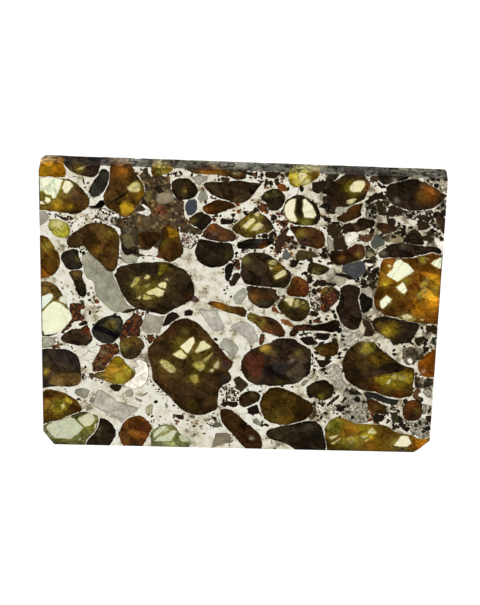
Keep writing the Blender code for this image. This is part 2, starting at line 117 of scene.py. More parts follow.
# The camera
# The photograph looks down on the face from beyond its long upper edge, so that the
# upper side of the slice shows as a thin dark strip.
VIEW_TILT = math.radians(28.0)
VIEW_ROLL = math.radians(1.5)
CAMERA_REACH = 358.0 * MM
LENS = 141.5
NEAREST_SEEN = 20.0 * MM
AIM = Vector((0.0, 1.85 * MM, THICKNESS * MM))

view_back = Vector((0.0, math.sin(VIEW_TILT), math.cos(VIEW_TILT)))
level_up = Vector((0.0, math.cos(VIEW_TILT), -math.sin(VIEW_TILT)))
level_right = level_up.cross(view_back)
view_right = math.cos(VIEW_ROLL) * level_right + math.sin(VIEW_ROLL) * level_up
view_up = view_back.cross(view_right)
lens = bpy.data.cameras.new("camera")
lens.lens = LENS
lens.clip_start = NEAREST_SEEN
camera = bpy.data.objects.new("camera", lens)
camera.matrix_world = (Matrix.Translation(AIM + view_back * CAMERA_REACH)
                       @ Matrix((view_right, view_up, view_back)).transposed().to_4x4())
bpy.context.scene.collection.objects.link(camera)
bpy.context.scene.camera = camera

# The light
# A white light table under the slice and an even white tent above it. The tent is open
# where a polished crystal would mirror it towards the lens, so that the dark ones stay dark.
TENT_BRIGHTNESS = 1.2
OPENING_BRIGHTNESS = 0.012
OPENING_ANGLE = math.radians(11.0)
TENT_ANGLE = math.radians(24.0)
TABLE_GLOW = 1.09
TENT_COLOUR = (1.0, 0.985, 0.94, 1.0)
TABLE_SIZE = 3.0
TABLE_DROP = 0.02 * MM


def colour(code):
    """Linear colour of an sRGB hex value."""
    parts = [int(code[start:start + 2], 16) / 255 for start in (1, 3, 5)]
    return [p / 12.92 if p <= 0.04045 else ((p + 0.055) / 1.055) ** 2.4 for p in parts]


def opaque(code):
    """Linear colour of an sRGB hex value with full opacity, as a socket takes it."""
    return (*colour(code), 1.0)


def add(tree, kind, inputs, **properties):
    """Adds a node and returns its first output. inputs holds values, or outputs that feed them."""
    node = tree.nodes.new("ShaderNode" + kind)
    for name, value in properties.items():
        setattr(node, name, value)
    for name, value in inputs.items():
        if isinstance(value, bpy.types.NodeSocket):
            tree.links.new(value, node.inputs[name])
        else:
            node.inputs[name].default_value = value
    return next(output for output in node.outputs if output.enabled)


def new_material(name, **values):
    """Material with a Principled shader, its socket values set. Returns material, nodes and shader."""
    material = bpy.data.materials.new(name)
    material.use_nodes = True
    shader = material.node_tree.nodes["Principled BSDF"]
    for socket, value in values.items():
        shader.inputs[socket.replace("_", " ")].default_value = value
    return material, material.node_tree, shader


def light_table():
    material, _, shader = new_material("opal light table", Roughness=0.6, Emission_Strength=TABLE_GLOW)
    shader.inputs["Base Color"].default_value = opaque("#303030")
    shader.inputs["Emission Color"].default_value = (1.0, 1.0, 1.0, 1.0)
    half = TABLE_SIZE / 2
    mesh = bpy.data.meshes.new("light_table")
    corners = ((-half, -half), (half, -half), (half, half), (-half, half))
    mesh.from_pydata([(x, y, -TABLE_DROP) for x, y in corners], [], [(0, 1, 2, 3)])
    mesh.materials.append(material)
    table = bpy.data.objects.new("light_table", mesh)
    bpy.context.scene.collection.objects.link(table)
    table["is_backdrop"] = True


def light_tent():
    world = bpy.data.worlds.new("light tent")
    bpy.context.scene.world = world
    world.use_nodes = True
    tree = world.node_tree
    mirror_way = (0.0, -math.sin(VIEW_TILT), math.cos(VIEW_TILT))
    way = add(tree, "TexCoord", {}).node.outputs["Generated"]
    near = add(tree, "VectorMath", {0: way, 1: mirror_way}, operation="DOT_PRODUCT")
    opening = add(tree, "MapRange", {0: near, "From Min": math.cos(TENT_ANGLE),
                                     "From Max": math.cos(OPENING_ANGLE), "To Min": TENT_BRIGHTNESS,
                                     "To Max": OPENING_BRIGHTNESS},
                  interpolation_type="SMOOTHSTEP", clamp=True)
    tree.links.new(opening, tree.nodes["Background"].inputs["Strength"])
    tree.nodes["Background"].inputs["Color"].default_value = TENT_COLOUR


light_table()
light_tent()
bpy.context.scene.view_settings.view_transform = "Standard"

# Olivine crystals
# Each is a single crystal of olivine that grew in the molten metal, sawn through and
# polished flush with it. Most are stained brown by iron and full of healed fractures;
# where one is clear, the light from below comes through as a bright window.
GROWTH = 0.15
CLOSE_GROWTH = 0.34
CLOSE_GAP = 1.2
CLOSE_FADE = 0.4
THINNEST_METAL = 0.045
TRACE_STEP = 0.5
CURVE_STEP = 0.25
SIDE_SHAKE = 0.045
NOTCH = 0.15
NOTCH_SHARE = 0.12
BROAD_SHAKE = 0.11
SOFTENING = (0.2, 0.6, 0.2)
SHARPEST_LEAN = 0.5
WALL_CLEARANCE = 0.012
GLASS_LIFT = 0.01
OLIVINE_IOR = 1.67
REFRACTED_SHIFT = math.tan(math.asin(math.sin(VIEW_TILT) / OLIVINE_IOR))


def top_outline(node):
    """Outline of a node's upper face, anticlockwise."""
    mesh = frame["nodes"][node].data
    sides = {}
    for polygon in mesh.polygons:
        corners = [mesh.vertices[index].co / MM for index in polygon.vertices]
        if min(corner.z for corner in corners) < THICKNESS - RIM_TOLERANCE:
            continue
        keys = [(round(corner.x, 3), round(corner.y, 3)) for corner in corners]
        for start, end in sides_of(keys):
            if (end, start) in sides:
                del sides[end, start]
            else:
                sides[start, end] = True
    following = {start: end for start, end in sides}
    outline = [next(iter(following))]
    while following[outline[-1]] != outline[0]:
        outline.append(following[outline[-1]])
    return outline


def unit(x, y):
    length = math.hypot(x, y) or 1.0
    return (x / length, y / length)


def grown(outline, distance):
    """Anticlockwise outline moved outwards by one distance, or by one for each of its points."""
    moved = []
    distance = np.broadcast_to(distance, len(outline))
    for index, point in enumerate(outline):
        before = outline[index - 1]
        after = outline[(index + 1) % len(outline)]
        normal_in = unit(point[1] - before[1], before[0] - point[0])
        normal_out = unit(after[1] - point[1], point[0] - after[0])
        middle = unit(normal_in[0] + normal_out[0], normal_in[1] + normal_out[1])
        lean = max(middle[0] * normal_in[0] + middle[1] * normal_in[1], SHARPEST_LEAN)
        moved.append(tuple(point[i] + middle[i] * distance[index] / lean for i in (0, 1)))
    return moved


def traced(places, back=0.0):
    """Anticlockwise outline from places written x, y, x, y, moved back across the slice."""
    outline = [(x, y + back) for x, y in zip(places[::2], places[1::2])]
    doubled = sum(a[0] * b[1] - b[0] * a[1] for a, b in sides_of(outline))
    return outline if doubled > 0 else outline[::-1]


def trimmed(outline, border=edge):
    """Part of an outline that lies within the edge of the slice, or within another border."""
    for start, end in sides_of(border):
        along = unit(end[0] - start[0], end[1] - start[1])
        heights = [along[0] * (p[1] - start[1]) - along[1] * (p[0] - start[0]) for p in outline]
        kept = []
        for index, point in enumerate(outline):
            after = (index + 1) % len(outline)
            here, there = heights[index], heights[after]
            if here >= 0:
                kept.append(point)
            if (here >= 0) != (there >= 0):
                share = here / (here - there)
                kept.append((point[0] + share * (outline[after][0] - point[0]),
                             point[1] + share * (outline[after][1] - point[1])))
        outline = kept
    return outline


def divided(outline, step):
    """Outline with its long sides divided into steps."""
    drawn = []
    for start, end in sides_of(outline):
        steps = max(1, round(math.dist(start, end) / step))
        drawn += [tuple(a + (b - a) * k / steps for a, b in zip(start, end)) for k in range(steps)]
    return drawn


def weathered(outline, rng):
    """Outline with its corners slightly rounded and its sides uneven. Its sawn rim stays straight."""
    on_rim = distances(outline, edge) < RIM_TOLERANCE
    count = len(outline)
    softened = []
    for k, point in enumerate(outline):
        around = (outline[k - 1], point, outline[(k + 1) % count])
        mean = tuple(sum(share * p[i] for share, p in zip(SOFTENING, around)) for i in (0, 1))
        softened.append(tuple(point) if on_rim[k] else mean)
    uneven = []
    for k, start in enumerate(softened):
        end = softened[(k + 1) % count]
        steps = max(1, round(math.dist(start, end) / CURVE_STEP))
        for step in range(steps):
            shake = NOTCH if rng.random() < NOTCH_SHARE else SIDE_SHAKE
            if on_rim[k] and (step == 0 or on_rim[(k + 1) % count]):
                shake = 0.0
            uneven.append(tuple(a + (b - a) * step / steps + rng.uniform(-shake, shake)
                                for a, b in zip(start, end)))
    return uneven


def piece(name, points, faces, materials, kinds=None, tones=None):
    """Mesh piece from points in millimetres. kinds are its faces' materials, tones its corner colours."""
    mesh = bpy.data.meshes.new(name)
    used = sorted({index for face in faces for index in face})
    place = {index: count for count, index in enumerate(used)}
    mesh.from_pydata([[part * MM for part in points[index]] for index in used], [],
                     [[place[index] for index in face] for face in faces])
    for material in materials:
        mesh.materials.append(material)
    if kinds is not None:
        mesh.polygons.foreach_set("material_index", kinds)
    if tones is not None:
        layer = mesh.color_attributes.new("tone", "FLOAT_COLOR", "CORNER")
        layer.data.foreach_set("color", np.asarray(tones, np.float32).ravel())
    mesh.update()
    made = bpy.data.objects.new(name, mesh)
    bpy.context.scene.collection.objects.link(made)
    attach(made, "root")
    return made


# Every crystal has its ground colour, its stains and its windows. A stain is round, written
# (x, y, radius, colour), or a crisp facet, written (colour, outline) as a window is. Outlines
# run x, y, x, y. The crystals that the solids don't hold bring an outline of their own.
CREAM = "#FAF5CD"
WHITE = "#FFFFF2"
CRYSTALS = {
    "corner_orange": ("#B47A12", [(-28.8, 23.2, 1.3, "#D49A1E"), (-27, 23, 0.8, "#A46410"),
     (-28.2, 22.2, 0.6, "#7A4410")], []),
    "top_plum": ("#3A2A22", [(-24.2, 23.2, 0.9, "#6A5A20"), (-22.9, 22.4, 0.4, "#4A3426")],
     [("#B0A264", [-24.5, 23.2, -23.6, 23.3, -23.1, 23.8, -23.7, 23.6])]),
    "left_lime": ("#A09A34", [(-27.3, 14.2, 0.9, "#D8D2A0"), (-26.2, 13.4, 0.6, "#8A7E20"),
     (-28, 13, 0.6, "#B4AE4C")], []),
    "top_left_windowed": ("#4A3414", [(-28.5, 20, 1.8, "#A89A3C"), (-25.8, 20.5, 0.8, "#A89A50"),
     (-27.3, 17.2, 0.7, "#A8801C"), (-25.5, 17.3, 0.6, "#8A6A18"), (-24.3, 18.5, 1.2, "#3A2818"),
     (-24.6, 19.2, 0.5, "#5A4034"), (-29.2, 17, 0.5, "#7A6420")],
     [(WHITE, [-30, 21.7, -28.5, 21.8, -27, 21.6, -26.4, 21.4, -27.6, 18.5, -28, 18.4, -28.2, 19,
     -28.9, 19.1, -29.3, 19.6, -30, 19.6]), (CREAM, [-26.1, 21.4, -25.4, 21.2, -25, 20.6, -25.9, 19.3,
     -26.3, 19.5, -26.6, 20.3, -26.4, 21]), (CREAM, [-29, 18.6, -28.4, 18.4, -28.3, 18, -28.7, 17.6,
     -29.2, 17.9]), (CREAM, [-30, 17.9, -29.5, 17.9, -29.1, 17.5, -30, 17.4])]),
    "top_brown_large": ("#4A3418", [(-17.7, 23.4, 1.3, "#A0601C"), (-15.6, 21, 0.9, "#8A7A30"),
     (-15.2, 19.3, 0.9, "#8C6418"), (-17, 17.1, 0.9, "#A8861C"), (-18.6, 18, 0.9, "#3C2C14"),
     (-16.3, 22, 0.6, "#3A2814"), (-17, 19.2, 0.5, "#6A4E1C"), ("#A0801C", [-18.2, 17.5, -17.5, 18.1,
     -16.1, 17.9, -15.9, 16.9, -16.8, 16.3, -17.9, 16.5]), ("#1A120A", [-19.4, 18.1, -17.5, 19.5,
     -16.3, 20.6, -16.2, 20.4, -17.4, 19.2, -19.3, 17.8])],
     [("#DED28E", [-16.9, 20.5, -16.1, 21.3, -15.7, 21.5, -15.2, 21, -15.2, 20.2, -15.5, 19.8, -16.4, 19.9,
     -16.9, 20.2])]),
    "left_brown_large": ("#4A3418", [(-21.7, 10, 0.7, "#8C6420"), (-19.4, 12.9, 0.9, "#5C4C1C"),
     (-23.5, 13, 0.9, "#3C2A16"), (-21, 13.7, 0.7, "#5A4824"), (-24.6, 11.4, 0.6, "#3A2C1A"),
     (-24.1, 12.5, 0.2, "#B09A70")], []),
    "top_edge_long": ("#2E2418", [(-4.5, 23.4, 1.5, "#8A5A1C"), (-1.1, 23.4, 0.3, "#F0E8B0"),
     (-0.6, 22.9, 0.5, "#5A3A18")], []),
    "top_dark_long": ("#33281A", [(-1, 19, 0.6, "#4A3A1C")], []),
    "top_dark_round": ("#2E2418", [(-8.6, 20.2, 0.25, "#A08038"), (-8, 21.2, 0.5, "#4A3C1E")], []),
    "top_dark_kidney": ("#2C2418", [(4.5, 20, 0.4, "#6E6A3C"), (3.5, 19.8, 0.3, "#A09A58"),
     (5.6, 19.6, 0.4, "#3C3420")], []),
    "top_round_windowed": ("#2E2616", [(6.8, 15.8, 0.8, "#6E6428"), (9.2, 15.6, 0.7, "#A09438"),
     (11.2, 17.8, 0.9, "#1C1810"), (9.7, 15.6, 0.5, "#A0983C")],
     [("#F4F0CC", [6.3, 18.3, 6.8, 19, 7.3, 19.3, 7.8, 19.4, 7.6, 17.1, 8.1, 15.9, 7.9, 15.6, 7.2, 15.8,
     6.6, 16.2, 6.2, 17.4]), ("#F6F2D2", [8.9, 19.2, 9.2, 19.4, 10.3, 18.3, 10.9, 16.8, 10.6, 16.3,
     9.2, 16.4, 8.9, 17.6, 9, 18.4])]),
    "top_yellow": ("#8A7A24", [(8.6, 22.8, 1.2, "#D0C660"), (10.4, 23.2, 0.8, "#8A5410"),
     (7, 22.4, 0.5, "#6A5C18"), (7.7, 21.6, 0.5, "#A89C40"), (9.6, 22.9, 0.5, "#A08C28")],
     [("#ECE09E", [8.1, 23, 8.1, 23.6, 8.9, 23.7, 9.3, 23.2, 8.7, 22.3, 8.3, 22.2]), ("#E6DA98", [9.2, 22.6,
     9.7, 22.7, 9.7, 22.2, 8.3, 21.5])]),
    "top_kite_windowed": ("#33261A", [(16.2, 21.2, 1.1, "#8A7418"), (15.3, 21.3, 0.7, "#6A6418"),
     (18.3, 21.6, 0.4, "#8A4C14")],
     [("#F0E6B0", [16.3, 22.4, 17, 22.6, 17.8, 22.5, 17.9, 21.9, 17.3, 20.8, 16.3, 20.7, 15.8, 20.9,
     15.7, 21.5]), ("#E4D698", [15.4, 19.3, 16, 19.6, 16.8, 19.6, 15.9, 18.7, 15.4, 18.9])]),
    "upper_yellow_windowed": ("#4A3C18", [(1.5, 15, 1.2, "#867620"), (3.6, 15.3, 0.8, "#3A2A24"),
     (-0.6, 14, 0.7, "#3C2C14"), (0.4, 13.6, 0.6, "#6A6024"), (2.6, 16.5, 0.5, "#8C8430")],
     [("#E0D298", [0.1, 14.6, 1.2, 15.9, 1.7, 16, 2, 15.6, 1.1, 14.6, 0.6, 14.3]), ("#DACC8C", [1.4, 14,
     1.8, 14.7, 2.5, 15.3, 3, 14.9, 2.9, 14.5, 2.3, 14.1]), ("#DCCE8C", [1.7, 16.6, 2.2, 17.2, 2.6, 16.9,
     2.3, 16.3])]),
    "upper_brown": ("#4A3018", [(8.7, 13.5, 0.7, "#6E6424"), (9.3, 12.5, 0.7, "#443030"),
     (10.8, 13.2, 0.8, "#3C2614"), (8, 14.5, 0.5, "#3A2A14")], []),
    "top_right_large": ("#30261C", [(27.3, 20.6, 1.2, "#8A4C16"), (26.3, 20.2, 0.7, "#5E4618"),
     (22.6, 19.6, 0.3, "#8C8C84")], []),
    "left_amber_oval": ("#5E3E14", [(-29, 10.5, 0.9, "#8E7A2C"), (-29.3, 6, 0.8, "#8A5214"),
     (-28.5, 8, 0.9, "#6E4E1A"), (-27.8, 7.5, 0.5, "#4A3414")], []),
    "left_dark": ("#2A241E", [(-24.4, 8.7, 0.4, "#4E4820")], []),
    "left_brown_strip": ("#38301C", [(-24.8, 5.8, 0.7, "#5A4424"), (-24.2, 4.6, 0.3, "#6A5A34")], []),
    "left_window_large": ("#6A5428", [(-29, 3.8, 1.2, "#7A5A30"), (-29, 0.6, 0.8, "#8E8638"),
     (-26.2, -1.6, 0.8, "#B8AE70")],
     [("#F2F4DC", [-30, 1.9, -28.7, 2.5, -28.3, 2.3, -28.2, 2, -28.6, 1.3, -30, -0.3]), ("#FCF5CC",
     [-28, 1.2, -27, 0.9, -26.5, 0.6, -26.2, 0.1, -25.8, -0.2, -25.4, -1, -25.4, -1.6, -26.2, -2.9,
     -27.3, -4, -28.9, -4.5, -30, -4.5, -30, -1, -29.4, -0.1, -28.3, 1.1]), ("#E6E8C4", [-27, 2, -26.4, 2.2,
     -26.2, 0.3, -26.9, 1.1, -27.3, 1.3])]),
    "upper_oval_large": ("#34291A", [(-13.2, 3.6, 1.5, "#74641E"), (-15.6, 4.6, 0.9, "#6E6426"),
     (-11.5, 7.6, 0.7, "#7A6A1E"), (-15.6, 2.3, 0.6, "#4A3E20"), (-7.4, 2.6, 0.8, "#4E2C1A"), ("#2E261C",
     [-15.1, 7.8, -12.3, 7.9, -12.6, 6.1, -14, 6.4, -15.1, 6.2]), ("#8A7A24", [-12, 7.8, -11.1, 8.1,
     -11.2, 7, -12.1, 6, -12.5, 6.3])],
     [("#BEB058", [-15.7, 5.6, -15.2, 5.6, -15.3, 5, -16.2, 4, -16.4, 4.1]), ("#D0C478", [-14.4, 5.7,
     -14, 6.1, -13.6, 5.9, -13.9, 5.5, -14.4, 5.4]), ("#A89A44", [-14.3, 4.2, -13.7, 4.6, -13.6, 4.5,
     -14.1, 4.1]), ("#E6DCA0", [-12.4, 4.5, -11.8, 5, -11.2, 5, -11.1, 4.6, -11.3, 3.9, -11.7, 3.9,
     -12.2, 4.2]), ("#EAE0A4", [-12.5, 4, -11.6, 3.7, -11.5, 3.4, -11.7, 2.7, -12.3, 2.5, -12.9, 2.8,
     -13.6, 2.8, -14.2, 3, -13.9, 3.3]), ("#DED282", [-14.5, 2.9, -13.6, 2.5, -13.3, 2.1, -13.9, 1.9,
     -14.6, 2]), ("#D0C490", [-15.5, 2.1, -15, 2.5, -14.9, 2.4, -15.1, 2.1]), ("#9C9048", [-11.5, 5.1,
     -11, 5.6, -10.9, 5.3])]),
    "upper_brown_block": ("#402A12", [], []),
    "upper_olive": ("#4A3214", [(-10.3, 13.1, 0.8, "#8C6414"), (-11.5, 11.6, 0.6, "#6A5A1C"),
     (-10, 10.4, 0.8, "#3C2810"), (-9.6, 11.6, 0.6, "#5A3E18"), ("#A0741A", [-11.1, 14.2, -9.7, 14.2,
     -9.5, 12.8, -10.6, 12.3])], []),
    "upper_brown_crown": ("#4A3220", [(-4.4, 14.3, 0.6, "#7A431C"), (-4.2, 12.8, 0.7, "#4A363A"),
     (-2.6, 13.4, 0.9, "#5A3C22"), (-5.3, 13, 0.5, "#3C2A18")], []),
    "centre_dark_round": ("#2A2118", [(-2, 10, 0.8, "#46401E")], []),
    "centre_amber_tail": ("#5A3C18", [(-3, 1.3, 0.8, "#9C6418"), (-1.5, 0.5, 0.7, "#5E4E20"),
     (0.4, 0.2, 0.7, "#4A2E18")], []),
    "centre_brown_tail": ("#5A3A20", [(1.8, -0.4, 0.7, "#9A9040"), (3.4, -1.7, 0.6, "#6A6228"),
     (4.6, -1.4, 0.6, "#30221A")], []),
    "centre_large_windowed": ("#2E241A", [(5.4, 8, 0.8, "#8C6A1C"), (0.6, 9, 0.6, "#5A5428"),
     (5.6, 6.6, 0.8, "#6E5C1E"), (4.6, 8.6, 0.5, "#9A8C30")],
     [("#DCCE98", [5.1, 6.5, 6.4, 7.6, 6.7, 7.4, 6.8, 6.9, 6.5, 6.6, 5.4, 6, 5.2, 6]), ("#A49A60",
     [4.3, 8.9, 4.9, 9.1, 5.2, 9, 5.1, 8.6, 4.6, 8.5, 4.3, 8.6]), ("#DCD494", [4.4, 7.9, 4.7, 7.8,
     4.5, 7.6])]),
    "centre_brown_lower": ("#3A2C1C", [(2.5, 3, 0.7, "#7A4C24"), (4.1, 3, 0.6, "#5A3018"),
     (3.4, 1.6, 0.7, "#3E4434"), (4.4, 3.9, 0.5, "#4A3A22")], []),
    "centre_red_brown": ("#5C3418", [(7.5, 5, 0.6, "#5A4E1E")], []),
    "centre_olive_windowed": ("#3C3018", [(7.8, 2.1, 0.9, "#7A6E2C"), (8.2, 0.2, 1.2, "#2A2014"),
     (9.6, 1.4, 0.6, "#5A4E20"), (6.6, 1.2, 0.6, "#4A3E1C")],
     [("#E0D6A4", [6.6, 2.5, 7, 2.9, 8.1, 2.9, 8.1, 2.4, 7.9, 2.1, 7.9, 1.8, 7.6, 1.5, 7.3, 2]), ("#A89C60",
     [8.2, 2.2, 8.6, 2.7, 8.9, 2.5, 8.7, 2, 9, 1.7, 8.6, 1.3, 8.2, 1.4, 8.4, 1.9]), ("#988A50", [9.2, 1.9,
     9.5, 2.3, 9.6, 2.1, 9.4, 1.8])]),
    "upper_dark_tongue": ("#1E1A12", [(2.5, 12.3, 0.5, "#3C4242"), (3.3, 11.4, 0.6, "#6E3A10")], []),
    "upper_right_brown": ("#402A1A", [(13.8, 10, 0.8, "#281C14"), (17.3, 10.4, 0.4, "#7A6A24"),
     (15, 9.9, 0.4, "#8A5420"), (16.6, 11.2, 0.8, "#4E2C1C")], []),
    "right_black_long": ("#2A2018", [], []),
    "right_amber_large": ("#60390F", [(22.3, 7.6, 1.4, "#B07C20"), (24.6, 6.3, 0.8, "#8E8226"),
     (21.8, 8.8, 0.7, "#A05C18"), (26.6, 1.2, 1.1, "#B87414"), (29, 2.6, 1.5, "#D0881A"),
     (29.4, 5, 1.3, "#D8A830"), (28.6, 7, 1, "#C4841C"), (21.6, 5.7, 0.6, "#B09828"),
     (26.9, 7.8, 0.8, "#7A4A12"), (24.4, 4.2, 1, "#8A6A20"), (22, 2.6, 1, "#8A7424"),
     (25.6, 5.2, 0.9, "#4A260C"), (26.6, 8.8, 0.8, "#7A541A"), (23.2, 1.4, 0.8, "#4A3414"),
     (20.8, 4.4, 0.7, "#4A3410"), (27.6, 3.9, 0.9, "#B89028"), (25.2, -0.1, 0.8, "#A8A058")],
     [(WHITE, [21.8, 7.1, 22.2, 7.6, 23.2, 9.8, 23.8, 9.8, 24.2, 9.4, 24.9, 9.1, 25.9, 7.9, 23.5, 6.1]),
     (CREAM, [22.1, 8.9, 22.5, 8.5, 22.4, 8.3, 22, 8.8]), (WHITE, [23.4, 5.1, 24.3, 6, 24.5, 5.8, 25, 4.7,
     24.6, 4.1, 24.2, 4.3]), (WHITE, [21.1, 2.7, 22, 3.7, 22.8, 3.1, 22.6, 2.6, 21.6, 1.5, 21.3, 1.6,
     21.1, 2.2]), (WHITE, [28.4, 9.3, 28.9, 9.8, 30, 10.5, 30, 8.6, 29.5, 8.5]), ("#8E7A2A", [26.3, 10.4,
     27.4, 10.3, 27.9, 10, 27.3, 9.3, 26.9, 9.2]), ("#DCCF98", [23.6, 0.1, 25.3, 0.6, 26.6, -0.2,
     26.3, -0.4, 25.2, -0.4]), ("#B4882A", [27, 5.5, 27.9, 7, 28.2, 6.6, 27.8, 5.6, 27.2, 5.1]), ("#B68A2C",
     [26.4, 3.7, 27, 4.4, 27.8, 5, 27.9, 4.7, 27.2, 3.9, 27.1, 3.3]), ("#B49C64", [27.2, -0.1, 27.9, -0.2,
     27.9, -0.5, 27.3, -0.5])]),
    "right_dark_cap": ("#2A2018", [(24, 12, 0.6, "#4A4438"), (21.2, 10.8, 0.4, "#56544A")], []),
    "left_lower_dark": ("#3A2E20", [(-23, -3.6, 0.6, "#7A3414")], []),
    "lower_slate": ("#2A2826", [(-19.6, -2.7, 0.9, "#6B6240"), ("#14121A", [-22.3, -2.3, -20.2, -3.1,
     -18.4, -4.3, -18.6, -4.8, -22.3, -3.2]), ("#665A2E", [-20.2, -1.8, -18.7, -1.9, -19.1, -3.3,
     -20.2, -2.9])], []),
    "lower_two_tone": ("#3A2E1A", [(-16.8, -5.3, 0.9, "#86692A"), (-15.6, -5.4, 0.7, "#6E5422"),
     (-16.4, -7.3, 0.9, "#231F18"), (-17.6, -6.3, 0.5, "#8A7A40")], []),
    "lower_yellow_kite": ("#7A5C1C", [(-18.4, -8.6, 0.6, "#8A7A10"), (-18.3, -12, 0.9, "#B2A632"),
     (-16.7, -10.3, 0.7, "#9C9434"), (-21.2, -11.6, 0.7, "#6A6440")], []),
    "left_lower_large": ("#2A2420", [(-29.6, -11, 0.7, "#8A6E28"), (-29.6, -9, 0.7, "#4E4630"),
     (-27, -12.4, 1.4, "#5B4424"), (-25, -12.2, 0.9, "#54401E"), ("#664E2C", [-28.5, -12, -26.9, -11.3,
     -24.6, -11.1, -23.8, -11.9, -24.6, -13, -26.2, -13.5, -29.1, -13.1])], []),
    "left_gold": ("#6E4A1A", [(-28, -15.2, 0.9, "#7E501A"), (-27.6, -17.3, 1.1, "#B8A83C"),
     (-25.2, -16.9, 0.9, "#4A3214"), (-29.4, -17, 0.7, "#8A6A24"), (-27, -18.6, 0.6, "#7A6A24"),
     (-26.4, -16.2, 0.5, "#9A8024"), ("#AE9828", [-27.6, -16.2, -26.2, -15.3, -25.3, -16.1, -26.4, -17.7,
     -28.2, -18.5, -28.5, -17.8])],
     [("#D8CC70", [-27.2, -16.9, -26.8, -16.6, -26.7, -17.1, -27, -17.6])]),
    "corner_pale_green": ("#6E6C3C", [(-22.6, -20.6, 0.8, "#8A8420"), (-22.2, -19.3, 0.5, "#9A9440"),
     (-25, -23.5, 1.2, "#5E5E3A")],
     [("#C6C49C", [-29.8, -21.3, -29.2, -20.5, -28.6, -20.1, -25.8, -19, -24.8, -19.6, -23.9, -20.8,
     -24.6, -22, -25.3, -22.4, -25.6, -22.9, -28.8, -22.8, -29.3, -22.4]), ("#D4CEA2", [-24.7, -19.5,
     -24.2, -19, -23, -18.2, -22.5, -18.3, -22.1, -18.9, -22, -19.3, -22.3, -19.9, -22.8, -20.5,
     -23.4, -20.6, -24.4, -19.9]), ("#E6E2C0", [-21.7, -20, -21.9, -20.1, -22.2, -21.2, -23.3, -22.7,
     -23, -22.6, -22, -21]), (CREAM, [-24.7, -23.1, -24.2, -22.7, -24.4, -23.3])]),
    "corner_dark": ("#2C2218", [(-21.1, -20.8, 0.3, "#6A6844"), (-21.3, -21.9, 0.3, "#54523A")], []),
    "bottom_rust_brown": ("#5E3616", [(-16.6, -20, 0.9, "#6E4218"), (-14.8, -20.6, 0.8, "#4A2818"),
     (-17.2, -22, 0.7, "#5A4420"), (-15.6, -22.2, 0.6, "#7A4A1C"), (-16, -23.6, 0.7, "#3E3220")], []),
    "bottom_pale_green": ("#8A8C5C", [(-11.3, -20.4, 0.7, "#B8B88C"), (-9.8, -20.5, 0.5, "#9A9A60"),
     (-9.3, -21.7, 0.4, "#4A4A14"), (-9.6, -22.6, 0.3, "#4A4A14"), (-11.5, -23.5, 1.4, "#6C6E50"),
     (-8, -22.4, 0.5, "#7A7A40")],
     [(CREAM, [-12.2, -22.1, -10.7, -20.6, -10.5, -21, -11.1, -21.5]), ("#CDCBA0", [-12.9, -21.6,
     -12.4, -20.9, -11.4, -20.1, -10.8, -20.4, -12.3, -21.9, -12.8, -22.6]), ("#CDCBA0", [-12.4, -22.3,
     -11.5, -21.8, -10.6, -21.1, -9.6, -20.9, -9.3, -21.1, -10.3, -22.9, -12.8, -22.9]), ("#BEBE90",
     [-8.9, -21.9, -8.3, -21.5, -7.4, -22.3, -7.3, -22.9, -8.2, -23, -8.6, -22.7])]),
    "centre_largest": ("#3E2C18", [(-10.5, -3.4, 0.9, "#50301C"), (-7, -16.5, 0.7, "#6A5A20"),
     (-2, -11.5, 0.6, "#2E3234"), (-1.9, -7.8, 0.6, "#3E1A14"), (-2.2, -9, 0.5, "#302434"),
     (-8.2, -6.2, 1.5, "#7A6A20"), (-5.4, -5.9, 1, "#6E5E1C"), (-10.8, -9.4, 1.1, "#6A5A1C"),
     (-5.8, -9.2, 1.3, "#7C6C1C"), (-6.7, -11.6, 0.7, "#8A781C"), (-3.4, -9.2, 0.6, "#6E6020"),
     (-8.2, -3.4, 0.5, "#7E7234")],
     [("#F6F0C8", [-8.9, -6, -7.5, -4.6, -7, -4.3, -6.8, -4.8, -6.8, -5.3, -7.7, -7.1, -8.1, -7]),
     ("#E6DCA0", [-10, -7.4, -8.9, -6.6, -8.6, -6.7, -8, -7.5, -8.1, -7.9, -8.5, -8.2, -9.5, -7.8]),
     ("#E2DCA8", [-5.9, -5.1, -5.3, -4.9, -4.9, -5.4, -4.4, -5.7, -4.3, -6, -6.4, -7, -6.6, -6.8,
     -6, -5.7]), ("#C4B872", [-12, -8.9, -11.7, -8.4, -11.1, -8.5, -9.7, -9.7, -9.5, -10.1, -9.9, -10.5,
     -10.5, -10.5, -11.5, -9.6]), ("#BCAA58", [-6.8, -9.1, -5.9, -8.6, -5.5, -8.8, -5.2, -9.2, -5.4, -9.8,
     -5.8, -10.1, -6.2, -9.6, -6.6, -9.4]), ("#AA9E58", [-5.4, -8.1, -4.9, -7.8, -4, -6.9, -4.2, -7.5,
     -5, -8.6, -5.3, -8.4]), ("#BCAE80", [-3.8, -9.3, -3.4, -8.9, -3.1, -8.3, -3, -8.9, -3.1, -9.7,
     -3.5, -9.6]), ("#C8B880", [-4.4, -10.2, -4, -9.7, -3.7, -9.9, -4, -10.4]), ("#B49E48", [-7.2, -11.3,
     -6.7, -10.9, -6.3, -11, -6.2, -11.9, -6.6, -12.4, -6.8, -11.9, -7.1, -11.7])]),
    "lower_brown_large": ("#32261E", [(1.6, -8.4, 1.3, "#5A361C"), (4.1, -5.9, 0.8, "#9C7C30"),
     (5.7, -6.6, 0.6, "#6E5A3C"), (9.2, -6.6, 0.6, "#4E481E"), (6.6, -11.4, 0.8, "#50481C"),
     (8, -8.1, 0.25, "#7E7C78"), (2.6, -10.8, 0.9, "#44301E"), (4.4, -10, 0.7, "#241E1C"), ("#4A281C",
